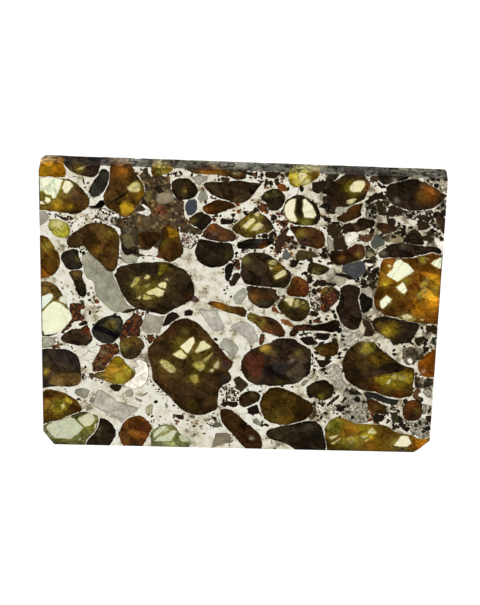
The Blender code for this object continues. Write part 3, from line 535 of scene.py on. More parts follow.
     [1.2, -7.4, 2.1, -6.4, 3.6, -7, 4.1, -8.8, 3.2, -11.1, 1.8, -10.7, 1.1, -9.6]), ("#241E1E", [4.8, -8.8,
     6, -8.1, 7.3, -8.5, 8.1, -10, 6.8, -11.4, 5.5, -10.6, 4.1, -10.2]), ("#3A3228", [7.4, -10.1, 9.4, -8,
     10.6, -9.7, 9.7, -11.5, 7.6, -11.9])], []),
    "lower_dark_round": ("#241A0E", [(12.9, -14.1, 0.35, "#6E6A18"), (13.4, -13.3, 0.6, "#3A3014")], []),
    "lower_brown_oval": ("#42300F", [(6, -18, 1.1, "#55441A"), (4.4, -15.8, 0.7, "#5E3E14"),
     (11, -16, 0.5, "#5E3C14"), (8.2, -18.4, 0.7, "#6A4E14")], []),
    "bottom_brown_long": ("#3A2410", [(2.3, -21.9, 0.25, "#E0D8B0")], []),
    "bottom_dark_large": ("#2A2318", [("#3A3228", [8.6, -19.4, 12.1, -18.8, 12.9, -20.1, 10.6, -20.7,
     8.8, -20.5])], []),
    "bottom_yellow_large": ("#6E5212", [(17.7, -20.5, 0.9, "#8A5614"), (21, -22.3, 0.9, "#7E4E14"),
     (23.5, -21.2, 1, "#3E2C14"), (28.4, -22.6, 1.4, "#B06A14"), (15, -19, 1, "#8E8428"),
     (16.6, -22.2, 1, "#8C7C28"), (20.4, -20.6, 1.1, "#A49428"), (19.4, -19.6, 0.7, "#7A6818"),
     (18.6, -21.8, 0.8, "#9A8A2C"), (14.6, -20.6, 0.7, "#7E7020"), (22, -19.6, 0.8, "#5E4814"),
     (25.6, -23.5, 1.6, "#45432A"), (18, -23.6, 1.6, "#5A5424"), (24.8, -22, 0.7, "#8A7A30"), ("#6E6C20",
     [13.8, -18.8, 15.5, -17.9, 16.5, -18.5, 16, -20.5, 14.5, -20.8, 13.7, -19.9])],
     [("#F2ECC8", [24.5, -22.6, 25.2, -21.6, 25.4, -21, 25.9, -20.8, 26.6, -20.9, 27.2, -22.1, 26.5, -22.8,
     25.5, -22.8]), ("#E4D894", [20.3, -20.3, 20.9, -19.6, 21.6, -20.3, 21.3, -20.6, 20.4, -20.5]),
     ("#D0C270", [19.3, -21.2, 19.8, -20.9, 20.3, -20.9, 20.3, -21.2, 19.9, -21.5, 19.5, -21.4]),
     ("#CCB85C", [20, -21.9, 20.3, -21.5, 20.5, -21.6, 20.2, -21.9]), ("#DCCC80", [14.7, -22.5, 15.8, -21.8,
     16.2, -21.4, 16, -21.9, 15, -22.7]), ("#A69A48", [13.9, -19.5, 14.4, -18.9, 14.6, -19.3, 14.2, -19.9]),
     ("#CCC286", [14.3, -21.4, 15.9, -20.9, 15.4, -21.4, 14.8, -21.8]), ("#9C8828", [17.3, -21.7,
     17.7, -21.2, 18.1, -21.5, 18.2, -22, 17.8, -22.3])]),
    "right_red_brown": ("#3A2412", [(27, -15, 0.9, "#6E4018"), (27, -17.2, 0.8, "#1C140E"),
     (26.2, -16, 0.6, "#4A2C14"), (27.9, -16.2, 0.5, "#5A4A20")], []),
    "right_large_glinting": ("#3E2C16", [(19.8, -4.8, 0.8, "#B8AE58"), (21.6, -7.2, 1.1, "#8A6A1C"),
     (18, -10, 1.3, "#1E1810"), (23.6, -11.2, 1.4, "#9A8A28"), (25.4, -11.2, 0.9, "#8A7A20"),
     (21, -12.6, 1, "#4A2208"), (24.6, -13.3, 1, "#5A300C"), (26, -9.4, 0.8, "#6A4E14"),
     (19.1, -6, 0.5, "#A89C60"), (20.2, -9.2, 0.9, "#2A2012"), (21.6, -11.4, 0.7, "#7A5A14"), ("#2C2218",
     [18.5, -11, 21.3, -10.2, 24, -9.7, 25.5, -9, 25.2, -8.3, 23.9, -7.9, 22.5, -8.1, 19.2, -10.1]),
     ("#84701A", [20.8, -10.6, 23.8, -10, 25.5, -9.2, 26.6, -9.6, 26.8, -11, 25.6, -12.1, 23.7, -12.5,
     21.2, -11.3]), ("#8A7E2C", [19, -5.1, 19.9, -4.3, 20.7, -4.4, 20.9, -5.3, 20, -6.3, 18.6, -6.2])],
     [("#C6B462", [23.7, -10, 24, -9.8, 24.2, -10.1, 24.1, -10.6, 23.8, -10.7, 23.5, -10.4]), ("#E0D08C",
     [22.7, -11.6, 23, -11.1, 23.4, -10.8, 23.2, -11.6]), ("#A08C32", [24.6, -10.2, 25.5, -10.3,
     25.5, -10.7, 24.9, -10.8, 24.5, -10.5])]),
    "right_edge_orange": ("#7A4410", [(29.3, -7.6, 1, "#96520F"), (28, -8.6, 0.7, "#4A2A10"),
     (29.4, -9.4, 0.6, "#8A4C10"), (28.3, -9.2, 0.2, "#E8D8A0")], []),
    "right_dark_golden": ("#241C16", [(22.8, -2.1, 1.1, "#8A7018"), (22.2, -2.6, 0.4, "#B8A030"),
     (21, -1.2, 0.6, "#4E3E14")], []),
    "right_dark_bar": ("#2A1C14", [(9.4, -2.3, 0.9, "#4A2C1C"), (13.8, -1.9, 0.9, "#17130C"),
     (8.1, -3, 0.5, "#3E281C")], []),
    "right_olive_wedge": ("#4A3212", [(12.3, -5.9, 0.5, "#5E5426")], []),
}
MORE_CRYSTALS = {
    "top_right_edge": ("#2A241C", [(22.2, 22.8, 0.35, "#C8C2B0")], [],
     [19.3, 24.3, 24.3, 24.3, 24, 23, 20.6, 22.4, 19.8, 23]),
    "lower_dark_egg": ("#2C2014", [(2.4, -14.2, 0.6, "#4A4020")], [],
     [0.1, -15.2, 0.5, -14.1, 1.5, -13.5, 2.8, -13.5, 3.4, -14.3, 3.1, -15.2, 2.2, -16, 1, -16.6,
     0.4, -16.2]),
    "top_slate": ("#2A2A26", [(-20.6, 22.4, 0.5, "#38342A")], [],
     [-22.4, 20.4, -21.9, 21.2, -21.2, 21.8, -20.9, 23.3, -20.2, 23.3, -19.6, 22.5, -20, 20.8, -20.6, 20.2,
     -21.1, 19.2, -21.7, 18.6, -22.3, 19.1, -22.6, 19.7]),
    "upper_dark_bar": ("#30241A", [(17.6, 15.4, 0.8, "#3E2C1C")], [],
     [14.8, 14, 15.1, 15, 15.6, 15.3, 16.9, 15.5, 17.2, 16.1, 17.9, 16.4, 19.2, 16.2, 19.6, 15.9, 19.1, 15,
     18.2, 14.5, 17, 14.1, 15.9, 14.3, 15.2, 13.6]),
    "top_lens": ("#5A3818", [(-4.8, 17.2, 0.5, "#9A5A1C"), (-3, 17.8, 0.8, "#4A3018"),
     (-1.7, 17.8, 0.5, "#3E2A18")], [],
     [-5.8, 17.6, -5.2, 18.2, -4.2, 18.6, -3, 18.6, -2, 18.4, -1, 17.9, -2.8, 16.9, -4.2, 16.6, -5.1, 16.7,
     -5.6, 17.1]),
    "upper_black_wedge": ("#1E1810", [(-7.3, 15.4, 0.5, "#4E4220")], [],
     [-8, 15.2, -7.6, 16, -6.8, 16.6, -6, 16.6, -4.5, 15.7, -4.7, 15.1, -5.9, 13.9, -7, 14.3]),
    "upper_brown_band": ("#4A3018", [(17, 18.2, 0.5, "#6A3A18")], [],
     [13.8, 16.5, 15.9, 17.9, 16.9, 18.8, 17.6, 18.9, 17.4, 17.9, 17.5, 17.1, 16.3, 16.4, 15, 15.9,
     14, 16]),
    "right_olive_block": ("#2A2212", [(11.6, 7.3, 0.3, "#8E8A50"), (10.9, 7.5, 0.25, "#8A8448"),
     (12, 8, 0.6, "#4A3E1C")], [],
     [9.8, 7.3, 10, 8.5, 10.3, 9.1, 11.3, 8.9, 13.2, 8.1, 12.9, 7.3, 12.1, 6.8, 11, 6.9]),
    "top_gold": ("#7A5A1C", [(-12, 23.3, 0.8, "#D0C050"), (-13.2, 23, 0.4, "#7A4420"),
     (-10.8, 23.6, 0.5, "#8A6A20")], [],
     [-13.9, 24.3, -10.6, 24.3, -10.2, 23.6, -11, 22.9, -12.2, 22.5, -12.9, 22.1, -13.5, 22.4,
     -13.5, 23.3]),
    "right_crushed_amber": ("#6A4420", [(21.6, -15.8, 0.5, "#8A6A34"), (20.6, -15, 0.4, "#4A3424"),
     (22, -16.4, 0.4, "#3A2818")], [],
     [19.9, -14.6, 20.5, -14.2, 21.5, -14.7, 22.5, -15.4, 22.9, -16.2, 22.6, -16.9, 21.3, -17,
     20.4, -16.3]),
    "right_edge_brown": ("#3A2A1C", [(29.3, 16, 0.5, "#4A382A")], [],
     [28.5, 17.8, 28.9, 18, 29.7, 16.9, 30.3, 16.4, 30.3, 14.1, 29.8, 14.2, 28.6, 16]),
    "upper_brown_kidney": ("#3E2C1C", [(21, 15, 0.5, "#5A3E24"), (22.4, 14.8, 0.4, "#2E2018")], [],
     [19.9, 15.1, 20.1, 15.7, 21.2, 15.8, 22.3, 15.5, 23.1, 15.1, 22.9, 14.5, 22, 14.1, 20.9, 13.8]),
    "right_black_short": ("#1E1812", [], [],
     [18.2, 4, 19.9, 2.8, 19.7, 1.6, 19.2, 0.8, 18.6, 0.5, 18.1, 3]),
    "upper_right_dark": ("#241C14", [(25.4, 13.4, 0.5, "#382C20")], [],
     [24.1, 13, 25.1, 14.4, 25.7, 14.3, 26.9, 13.2, 27.1, 12.6, 26.3, 12.5, 24.3, 12.8]),
    "centre_black_lens": ("#1C1812", [], [],
     [-2.2, 8.1, -1.6, 8.5, -1.1, 8.3, -1.1, 7.5, -1.6, 5.8, -2.1, 5.3, -2.4, 6.2]),
}
RIM_SHADE = 0.5
# Colours near the lower edge of the upper side, as (x, colour); from x -26.5 to -20.6 they are painted
# shadow of the chip.
UPPER_SIDE = [
    (-30, "#A89C80"), (-27.5, "#5A5042"), (-26.5, "#1C1815"), (-20.6, "#141110"), (-19.5, "#564C3E"),
    (-16, "#76766E"), (-14.6, "#302A24"), (-13, "#7A7664"), (-9.8, "#504A3E"), (-5, "#5C5C50"),
    (-1, "#7E7E74"), (4, "#6A685C"), (7, "#545244"), (10.5, "#908C70"), (13.5, "#34322C"),
    (20, "#403E38"), (24.5, "#706C5C"), (30, "#5E5848"),
]
UPPER_SIDE_REACH = 0.5
# Chips along the lower edge of the upper side, as (x, half width, height).
CHIPS = [(-15.7, 0.4, 0.7), (-13.7, 0.3, 0.25), (-19.2, 0.4, 0.25), (-23.2, 3.4, 0.3), (-8, 1.2, 0.1),
         (3, 2, 0.1), (-28.6, 0.5, 0.12), (12.4, 0.6, 0.12), (21, 1.6, 0.08)]
CHIP_REACH = 0.7


def lower_half(x, y, own):
    """Colour of a sawn side near its lower edge. On the slice's upper side it takes the listed colours,
    painted shadow included.
    """
    if upper_edge_gap(x, y) > UPPER_SIDE_REACH:
        return own
    stops = [stop for stop, _ in UPPER_SIDE]
    channels = zip(*(colour(code) for _, code in UPPER_SIDE))
    return [float(np.interp(x, stops, channel)) for channel in channels]


def chipped(x, y):
    """Height of the chips broken out of the lower edge of the upper side."""
    inward = 1 - upper_edge_gap(x, y) / CHIP_REACH
    return max(0.0, inward) * max(0.0, max(high * (1 - abs(x - at) / wide) for at, wide, high in CHIPS))


def upper_edge_gap(x, y):
    """How far a point lies in from the upper edge of the slice, which falls towards its right end."""
    return edge_top - UPPER_EDGE_FALL * (x / SLICE_LENGTH + 0.5) - y


DRAWS_PER_PLACE = 3.2
FEWEST_DRAWS = 4
SIDE_ROOM = 0.3
NEIGHBOUR_ROOM = 0.66
SHEET_DEPTH = 0.42
SHEET_EDGE_DEPTH = 0.05
SHEET_RISE_WIDTH = 0.7
SHEET_CURVE = 0.7
FACET_RELIEF = 0.16
FACET_SLOPE = 0.25
FACET_FADE = 0.5
FACET_SPACING = 1.5
GRAIN_SPACING = 0.4
# How far each facet of a fracture sheet is painted lighter or darker: painted shade of its tilted facets.
FACET_SHADE_CONTRAST = 0.34
EDGE_SHADE_WIDTH = 0.3
EDGE_SHADE = 0.65
FIRST_LIGHT = 0.43
TRAPPED_LIGHT = 0.52
DARKEST = 0.003
BRIGHTEST = 0.95
GLOW_WIDTH = 0.2
LOWER_HOLE_EXTRA = 0.1
SAWN_CLEARANCE = 0.03
inner_edge = grown(edge, -SAWN_CLEARANCE)


def sheet_albedo(seen):
    """Colour that a surface in the crystal needs to look a given colour, as the glass traps light."""
    seen = np.asarray(seen, float)
    return np.clip(seen / (FIRST_LIGHT + TRAPPED_LIGHT * seen), DARKEST, BRIGHTEST)


def loose_points(outline, spacing, rng):
    """Points scattered irregularly inside an outline, clear of its sides and of one another."""
    xs, ys = zip(*outline)
    area = (max(xs) - min(xs)) * (max(ys) - min(ys))
    tries = int(area / spacing**2 * DRAWS_PER_PLACE) + FEWEST_DRAWS
    drawn = [(rng.uniform(min(xs), max(xs)), rng.uniform(min(ys), max(ys))) for _ in range(tries)]
    keep = inside(drawn, outline) & (distances(drawn, outline) > spacing * SIDE_ROOM)
    taken = {}
    for (x, y), kept in zip(drawn, keep):
        column, row = int(x // spacing), int(y // spacing)
        near = [p for i in (-1, 0, 1) for j in (-1, 0, 1) for p in taken.get((column + i, row + j), [])]
        if kept and all(math.dist((x, y), p) > spacing * NEIGHBOUR_ROOM for p in near):
            taken.setdefault((column, row), []).append((x, y))
    return [point for points in taken.values() for point in points]


def triangles(loops, scattered):
    """Triangles of the plane that follow every loop. Returns the points and the triangles."""
    points = []
    sides = []
    for loop in loops:
        first = len(points)
        points += [Vector(p) for p in loop]
        sides += [(first + k, first + (k + 1) % len(loop)) for k in range(len(loop))]
    points += [Vector(p) for p in scattered]
    made = delaunay_2d_cdt(points, sides, [], 0, 1e-5)
    return [(p.x, p.y) for p in made[0]], [tuple(face) for face in made[2]]


def nearest(points, places):
    """For each point, which of the places is the nearest."""
    return np.linalg.norm(points[:, None] - places[None], axis=2).argmin(axis=1)


def middles(points, faces):
    flat = np.asarray(points, float)
    return flat[np.asarray(faces, int)].mean(axis=1)


def flaws(outline, ground, stains, windows, upward, rng):
    """Fractures and stains just inside one face of a crystal, as one sheet with its windows open."""
    shift = -REFRACTED_SHIFT * (SHEET_DEPTH if upward else THICKNESS - SHEET_DEPTH)
    margin = GLOW_WIDTH if upward else GLOW_WIDTH + LOWER_HOLE_EXTRA
    holes = [grown(traced(window, shift), margin) for _, window in windows]
    shell = trimmed(grown(outline, WALL_CLEARANCE), inner_edge)
    plain = [(colour(stain[0]), traced(stain[1], shift if upward else 0.0))
             for stain in stains if len(stain) == 2]
    loops = [shell] + holes + [side for _, side in plain]
    points, faces = triangles(loops, loose_points(shell, GRAIN_SPACING, rng))
    centres = middles(points, faces)
    kept = inside(centres, shell)
    for hole in holes:
        kept &= ~inside(centres, hole)
    faces = [face for face, keep in zip(faces, kept) if keep]
    centres = centres[kept]
    facets = np.asarray(loose_points(outline, FACET_SPACING, rng) or [centres.mean(axis=0)])
    tilts = np.asarray([(rng.uniform(-1, 1), rng.uniform(-1, 1), rng.uniform(-1, 1)) for _ in facets])
    flat = np.asarray(points, float)
    owner = nearest(flat, facets)
    inset = distances(flat, shell)
    rise = np.clip(inset / SHEET_RISE_WIDTH, 0, 1) ** SHEET_CURVE
    slope = (tilts[owner, :2] * (flat - facets[owner])).sum(1)
    relief = slope * FACET_SLOPE + tilts[owner, 2] * FACET_RELIEF
    depth = SHEET_EDGE_DEPTH + rise * (SHEET_DEPTH - SHEET_EDGE_DEPTH)
    depth = np.maximum(depth + relief * np.clip(inset / FACET_FADE, 0, 1), SHEET_EDGE_DEPTH)
    height = THICKNESS - depth if upward else GLASS_LIFT + depth
    spread = stained_tones(flat - (0.0, shift if upward else 0.0), ground, stains)
    spread *= (EDGE_SHADE + (1 - EDGE_SHADE) * np.clip(inset / EDGE_SHADE_WIDTH, 0, 1))[:, None]
    # Each facet is painted lighter or darker by the random value that also sets its depth: painted facet
    # shade.
    facet_shade = tilts[nearest(centres, facets), 2]
    seen = [[spread[index] for index in face] for face in faces]
    for tone, side in plain:
        for place in np.flatnonzero(inside(centres, side)):
            seen[place] = [np.asarray(tone)] * 3
    tones = [(*sheet_albedo(corner * (1 + FACET_SHADE_CONTRAST * lean)), lean)
             for corners, lean in zip(seen, facet_shade) for corner in corners]
    if not upward:
        faces = [face[::-1] for face in faces]
    return [(x, y, z) for (x, y), z in zip(points, height)], faces, tones


def stained_tones(flat, ground, stains):
    """Colour at every point of a crystal: its ground colour and the round stains over it."""
    spread = np.asarray([colour(ground)] * len(flat))
    for x, y, radius, code in (stain for stain in stains if len(stain) == 4):
        weight = np.exp(-(np.linalg.norm(flat - (x, y), axis=1) / radius) ** 2)[:, None]
        spread = spread * (1 - weight) + np.asarray(colour(code)) * weight
    return spread


FILM_SHARE = 0.9
FILM_GAP = 0.02
FILM_STEP = 0.015
FILM_MARGIN = 0.08
FILM_CELLS = 0.3
FILM_FACETS = 0.75
FILM_UNEVEN = 0.03
THINNEST_FILM = 0.02
THICKEST_FILM = 0.97
RIM_FILM = 0.98
VEILS = (0.0, 0.0, 0.1, 0.3, 0.6, 0.9)
# Around the windows: how much more light the film lets through, and the golden colour painted there as a
# painted glow.
GLOWS = (0.0, 0.0, 0.1, 0.3)
GLOW = "#C4AE3C"
GLOW_LEFT = 0.3
GLOW_SPREAD = (0.5, 1)
GLOW_TONES = (0.6, 1.0)
HAZE = "#94842C"
HAZE_RISE = 2
HAZE_DROP = 0.8
HAZE_FLOOR = 0.3
WINDOW_FULL = (0.97, 0.92, 0.65)


def films(outline, ground, stains, windows, rng):
    """Hazy cracks in and around the windows, which tint the light that comes through them."""
    points, faces, tones = [], [], []
    shell = trimmed(grown(outline, WALL_CLEARANCE), inner_edge)
    full, haze, golden = (np.asarray(tone) for tone in (WINDOW_FULL, colour(HAZE), colour(GLOW)))
    for level, (code, window) in enumerate(windows):
        target = np.asarray(colour(code)) * FILM_SHARE
        hazy = float(np.clip(HAZE_RISE * (1 - target[2] / target[0]) - HAZE_DROP, 0, 1))
        depth = SHEET_DEPTH + FILM_GAP + FILM_STEP * level
        shift = -REFRACTED_SHIFT * depth
        clear = traced(window, shift)
        outer = grown(clear, GLOW_WIDTH + FILM_MARGIN)
        flat, cells = triangles([outer, clear, shell], loose_points(outer, FILM_CELLS, rng))
        facets = np.asarray(loose_points(outer, FILM_FACETS, rng) or [clear[0]])
        veil = [rng.choice(VEILS) for _ in facets]
        glow = [rng.choice(GLOWS) for _ in facets]
        centres = middles(flat, cells)
        owner = nearest(centres, facets)
        kept = inside(centres, outer) & inside(centres, shell)
        within = inside(centres, clear)
        away = distances(centres, clear)
        behind = stained_tones(centres - (0.0, shift), ground, stains)
        first = len(points)
        points += [(x, y, THICKNESS - depth) for x, y in flat]
        for k, cell in enumerate(cells):
            if not kept[k]:
                continue
            if within[k]:
                aim = target + (haze - target) * veil[owner[k]] * hazy
                part = 1 - (aim / full).min() + rng.uniform(0, FILM_UNEVEN)
                part = float(np.clip(part, THINNEST_FILM, THICKEST_FILM))
                seen = np.maximum((aim - full * (1 - part)) / part, aim * HAZE_FLOOR)
            else:
                # Near a window the film lets more light through, and golden colour painted into it adds a
                # painted glow.
                near = 1 - min(away[k] / GLOW_WIDTH, 1)
                part = RIM_FILM - near * glow[owner[k]] * rng.uniform(*GLOW_SPREAD)
                near *= GLOW_LEFT + glow[owner[k]]
                seen = behind[k] * (1 - near) + golden * near * rng.uniform(*GLOW_TONES)
            faces.append(tuple(first + index for index in cell))
            tones += [(*sheet_albedo(seen), part)] * 3
    return points, faces, tones


def glass_body(outline, ground, stains):
    """Closed body of a crystal between the two polished faces. Its sawn rim has a material of its own."""
    count = len(outline)
    points = [(x, y, GLASS_LIFT + chipped(x, y)) for x, y in outline]
    points += [(x, y, THICKNESS) for x, y in outline]
    faces = [tuple(range(count, 2 * count)), tuple(range(count - 1, -1, -1))]
    faces += [(k, (k + 1) % count, count + (k + 1) % count, count + k) for k in range(count)]
    on_rim = distances(outline, edge) < 2 * RIM_TOLERANCE
    kinds = [0, 0] + [int(on_rim[k] and on_rim[(k + 1) % count]) for k in range(count)]
    own = stained_tones(np.asarray(outline), ground, stains) * RIM_SHADE
    rim = [lower_half(x, y, shade) for (x, y), shade in zip(outline, own)] + list(own)
    return points, faces, kinds, [(*rim[index], 1.0) for face in faces for index in face]


def clear_olivine(name, tint, roughness):
    """Polished olivine: glassy and clear, with the tint that its whole thickness gives white light."""
    material, tree, shader = new_material(name, Roughness=roughness, IOR=OLIVINE_IOR,
                                          Transmission_Weight=1.0)
    shader.inputs["Base Color"].default_value = (1.0, 1.0, 1.0, 1.0)
    path = THICKNESS * MM / math.cos(math.asin(math.sin(VIEW_TILT) / OLIVINE_IOR))
    losses = [-math.log(part) / path for part in colour(tint)]
    density = max(losses)
    absorbed = add(tree, "VolumeAbsorption", {"Density": density,
                                              "Color": (*[1 - loss / density for loss in losses], 1.0)})
    tree.links.new(absorbed, tree.nodes["Material Output"].inputs["Volume"])
    return material


def toned_material(name, **values):
    """Material that starts from its pieces' own tones. Returns these and the place on them as well."""
    material, tree, shader = new_material(name, **values)
    tone = add(tree, "VertexColor", {}, layer_name="tone")
    place = add(tree, "TexCoord", {}).node.outputs["Object"]
    return material, tree, shader, tone, place


BEND = 0.55


def long_cells(tree, place, cloud, size, stretch, turn):
    """Long, bent cells: the distance to the nearest border, and a random value for each cell."""
    bent = add(tree, "VectorMath", {0: cloud.node.outputs["Color"], 2: place, 1: (BEND * size,) * 3},
               operation="MULTIPLY_ADD")
    turned = add(tree, "VectorRotate", {"Vector": bent, "Angle": turn}, rotation_type="Z_AXIS")
    drawn = add(tree, "VectorMath", {0: turned, 1: (stretch, 1.0, 1.0)}, operation="MULTIPLY")
    cells = add(tree, "TexVoronoi", {"Vector": drawn, "Scale": 1 / size}, feature="DISTANCE_TO_EDGE")
    same = add(tree, "TexVoronoi", {"Vector": drawn, "Scale": 1 / size})
    own = add(tree, "SeparateColor", {"Color": same.node.outputs["Color"]})
    return cells, own


def flawed_olivine():
    """Iron-stained fractures: clouded, cracked, with painted facet shade and painted golden streaks and
    glints.
    """
    material, tree, shader, tone, place = toned_material(
        "iron-stained fractures in olivine", Roughness=0.6, Specular_IOR_Level=0.0)
    cloud = add(tree, "TexNoise", {"Vector": place, "Scale": 1 / (1.9 * MM), "Detail": 9.0,
                                   "Roughness": 0.7, "Distortion": 1.1})
    mottle = add(tree, "MapRange", {0: cloud, "From Min": 0.34, "From Max": 0.66, "To Min": 0.5,
                                    "To Max": 1.65})
    turn = add(tree, "Math", {0: tone.node.outputs["Alpha"], 1: 1.3}, operation="MULTIPLY")
    turned = add(tree, "VectorRotate", {"Vector": place, "Angle": turn}, rotation_type="Z_AXIS")
    drawn_out = add(tree, "VectorMath", {0: turned, 1: (0.2, 1.0, 1.0)}, operation="MULTIPLY")
    grain = add(tree, "TexNoise", {"Vector": drawn_out, "Scale": 1 / (0.36 * MM), "Detail": 4.0,
                                   "Roughness": 0.6})
    # Golden streaks and bright glints are painted highlights of the fractures.
    painted_streak = add(tree, "MapRange", {0: grain, "From Min": 0.6, "From Max": 0.68, "To Max": 0.8})
    dust = add(tree, "TexNoise", {"Vector": place, "Scale": 1 / (0.2 * MM), "Detail": 2.0})
    painted_glint = add(tree, "MapRange", {0: dust, "From Min": 0.67, "From Max": 0.71})
    gap, facet_shade = long_cells(tree, place, cloud, size=1.9 * MM, stretch=0.5, turn=0.7)
    line = add(tree, "MapRange", {0: gap, "From Max": 0.05, "To Min": 1.0, "To Max": 0.0})
    seen = add(tree, "MapRange", {0: grain, "From Min": 0.42, "From Max": 0.52})
    crack = add(tree, "Math", {0: line, 1: seen}, operation="MULTIPLY")
    # Each long cell is painted lighter or darker: painted shade of the fracture facets.
    lean = add(tree, "MapRange", {0: facet_shade, "To Min": 0.5, "To Max": 1.5})
    shade = add(tree, "Math", {0: mottle, 1: lean}, operation="MULTIPLY")
    stained = add(tree, "VectorMath", {0: tone, "Scale": shade}, operation="SCALE")
    gold = add(tree, "VectorMath", {0: stained, 1: (1.8, 1.75, 1.1)}, operation="MULTIPLY")
    with_painted_streaks = add(tree, "Mix", {0: painted_streak, 6: stained, 7: gold}, data_type="RGBA")
    shine = add(tree, "VectorMath", {0: stained, 1: (3.2, 3.0, 2.0), 2: (0.09, 0.07, 0.015)},
                operation="MULTIPLY_ADD")
    with_painted_glints = add(tree, "Mix", {0: painted_glint, 6: with_painted_streaks, 7: shine}, data_type="RGBA")
    dark = add(tree, "VectorMath", {0: stained, 1: (0.24, 0.2, 0.17)}, operation="MULTIPLY")
    cracked = add(tree, "Mix", {0: crack, 6: with_painted_glints, 7: dark}, data_type="RGBA")
    tree.links.new(cracked, shader.inputs["Base Color"])
    return material


def hazy_film():
    """Air-filled cracks in clear olivine: a veil that lets light through, with olive crack lines."""
    material, tree, shader, tone, place = toned_material(
        "hazy cracks in clear olivine", Roughness=0.5, Specular_IOR_Level=0.0)
    cloud = add(tree, "TexNoise", {"Vector": place, "Scale": 1 / (1.6 * MM), "Detail": 4.0})
    gap, _ = long_cells(tree, place, cloud, size=1.7 * MM, stretch=0.3, turn=2.2)
    line = add(tree, "MapRange", {0: gap, "From Max": 0.06, "To Min": 0.85, "To Max": 0.0})
    seen = add(tree, "MapRange", {0: tone.node.outputs["Alpha"], "From Min": 0.3, "From Max": 0.1,
                                  "To Max": 0.8})
    crack = add(tree, "Math", {0: line, 1: seen}, operation="MULTIPLY")
    haze = add(tree, "Math", {0: tone.node.outputs["Alpha"], 1: crack}, operation="MAXIMUM")
    olive = add(tree, "Mix", {0: crack, 6: tone, 7: (0.42, 0.36, 0.04, 1.0)}, data_type="RGBA")
    dust = add(tree, "TexNoise", {"Vector": place, "Scale": 1 / (0.5 * MM), "Detail": 5.0,
                                  "Roughness": 0.7, "Distortion": 0.8})
    fleck = add(tree, "MapRange", {0: dust, "From Min": 0.4, "From Max": 0.58, "To Min": 0.4,
                                   "To Max": 1.35})
    flecked = add(tree, "VectorMath", {0: olive, "Scale": fleck}, operation="SCALE")
    tree.links.new(flecked, shader.inputs["Base Color"])
    tree.links.new(haze, shader.inputs["Alpha"])
    return material


def sawn(name):
    """A surface as the saw leaves it: dull and mottled, with small bright specks."""
    material, tree, shader, tone, place = toned_material(name, Roughness=0.62, Specular_IOR_Level=0.02)
    blotch = add(tree, "TexNoise", {"Vector": place, "Scale": 1 / (1.2 * MM), "Detail": 8.0,
                                    "Roughness": 0.7, "Distortion": 1.0})
    cloud = add(tree, "MapRange", {0: blotch, "From Min": 0.42, "From Max": 0.6, "To Min": 0.15,
                                   "To Max": 2.4})
    mixed = add(tree, "VectorMath", {0: tone, "Scale": cloud}, operation="SCALE")
    dust = add(tree, "TexNoise", {"Vector": place, "Scale": 1 / (0.3 * MM), "Detail": 3.0})
    speck = add(tree, "MapRange", {0: dust, "From Min": 0.68, "From Max": 0.75})
    specked = add(tree, "Mix", {0: speck, 6: mixed, 7: opaque("#A8A490")}, data_type="RGBA")
    tree.links.new(specked, shader.inputs["Base Color"])
    return material


CLEAR_TINT = "#FCF7D2"
PALE_TINT = "#F4F7DC"
glass_kinds = {
    "dark_olivine": clear_olivine("polished dark olivine", CLEAR_TINT, roughness=0.05),
    "brown_olivine": clear_olivine("polished brown olivine", CLEAR_TINT, roughness=0.05),
    "amber_olivine": clear_olivine("polished amber olivine", CLEAR_TINT, roughness=0.05),
    "yellow_olivine": clear_olivine("polished yellow-green olivine", CLEAR_TINT, roughness=0.04),
    "pale_olivine": clear_olivine("polished pale green olivine", PALE_TINT, roughness=0.04),
}
flawed = flawed_olivine()
film = hazy_film()
sawn_olivine = sawn("saw-cut olivine")
kind_of = {part["node"]: part["material_slot"] for part in frame["record"]["subparts"]}


def make_crystal(name, outline, slot, ground, stains, windows):
    """The clear body of a crystal, and in it its flaws under both faces and the films at its windows."""
    rng = random.Random(name)
    points, faces, kinds, tones = glass_body(grown(outline, -WALL_CLEARANCE), ground, stains)
    materials = [glass_kinds[slot], sawn_olivine]
    body = piece("olivine_%s_crystal" % name, points, faces, materials, kinds, tones)
    body.visible_shadow = False
    sheets = [(0, flaws(outline, ground, stains, windows, upward, rng)) for upward in (True, False)]
    if windows:
        sheets.append((1, films(outline, ground, stains, windows, rng)))
    points, faces, kinds, tones = [], [], [], []
    for kind, (corners, cells, shades) in sheets:
        faces += [tuple(index + len(points) for index in cell) for cell in cells]
        points += corners
        kinds += [kind] * len(cells)
        tones += shades
    piece("olivine_%s_flaws" % name, points, faces, [flawed, film], kinds, tones)
    return body


traces = {name: divided(top_outline("olivine_" + name), TRACE_STEP) for name in CRYSTALS}
traces.update({name: divided(traced(more[3]), TRACE_STEP) for name, more in MORE_CRYSTALS.items()})


def settled(name, growth):
    """Outline of a crystal as it lies in the metal, close to its neighbours where they nearly meet."""
    outline = traces[name]
    gap = np.min([distances(outline, other) for label, other in traces.items() if label != name], axis=0)
    wanted = growth + (CLOSE_GROWTH - growth) * np.clip((CLOSE_GAP - gap) / CLOSE_FADE, 0, 1)
    rng = random.Random(name)
    wanted = wanted + [rng.uniform(-BROAD_SHAKE, BROAD_SHAKE) for _ in outline]
    reach = np.minimum(wanted, gap / 2 - THINNEST_METAL)
    return weathered(trimmed(grown(outline, reach)), rng)


outlines = {name: settled(name, GROWTH if name in CRYSTALS else 0.0) for name in traces}
for name, (ground, stains, windows) in CRYSTALS.items():
    node = "olivine_" + name
    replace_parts(make_crystal(name, outlines[name], kind_of[node], ground, stains, windows), node)
for name, (ground, stains, windows, _) in MORE_CRYSTALS.items():
    make_crystal(name, outlines[name], "dark_olivine", ground, stains, windows)

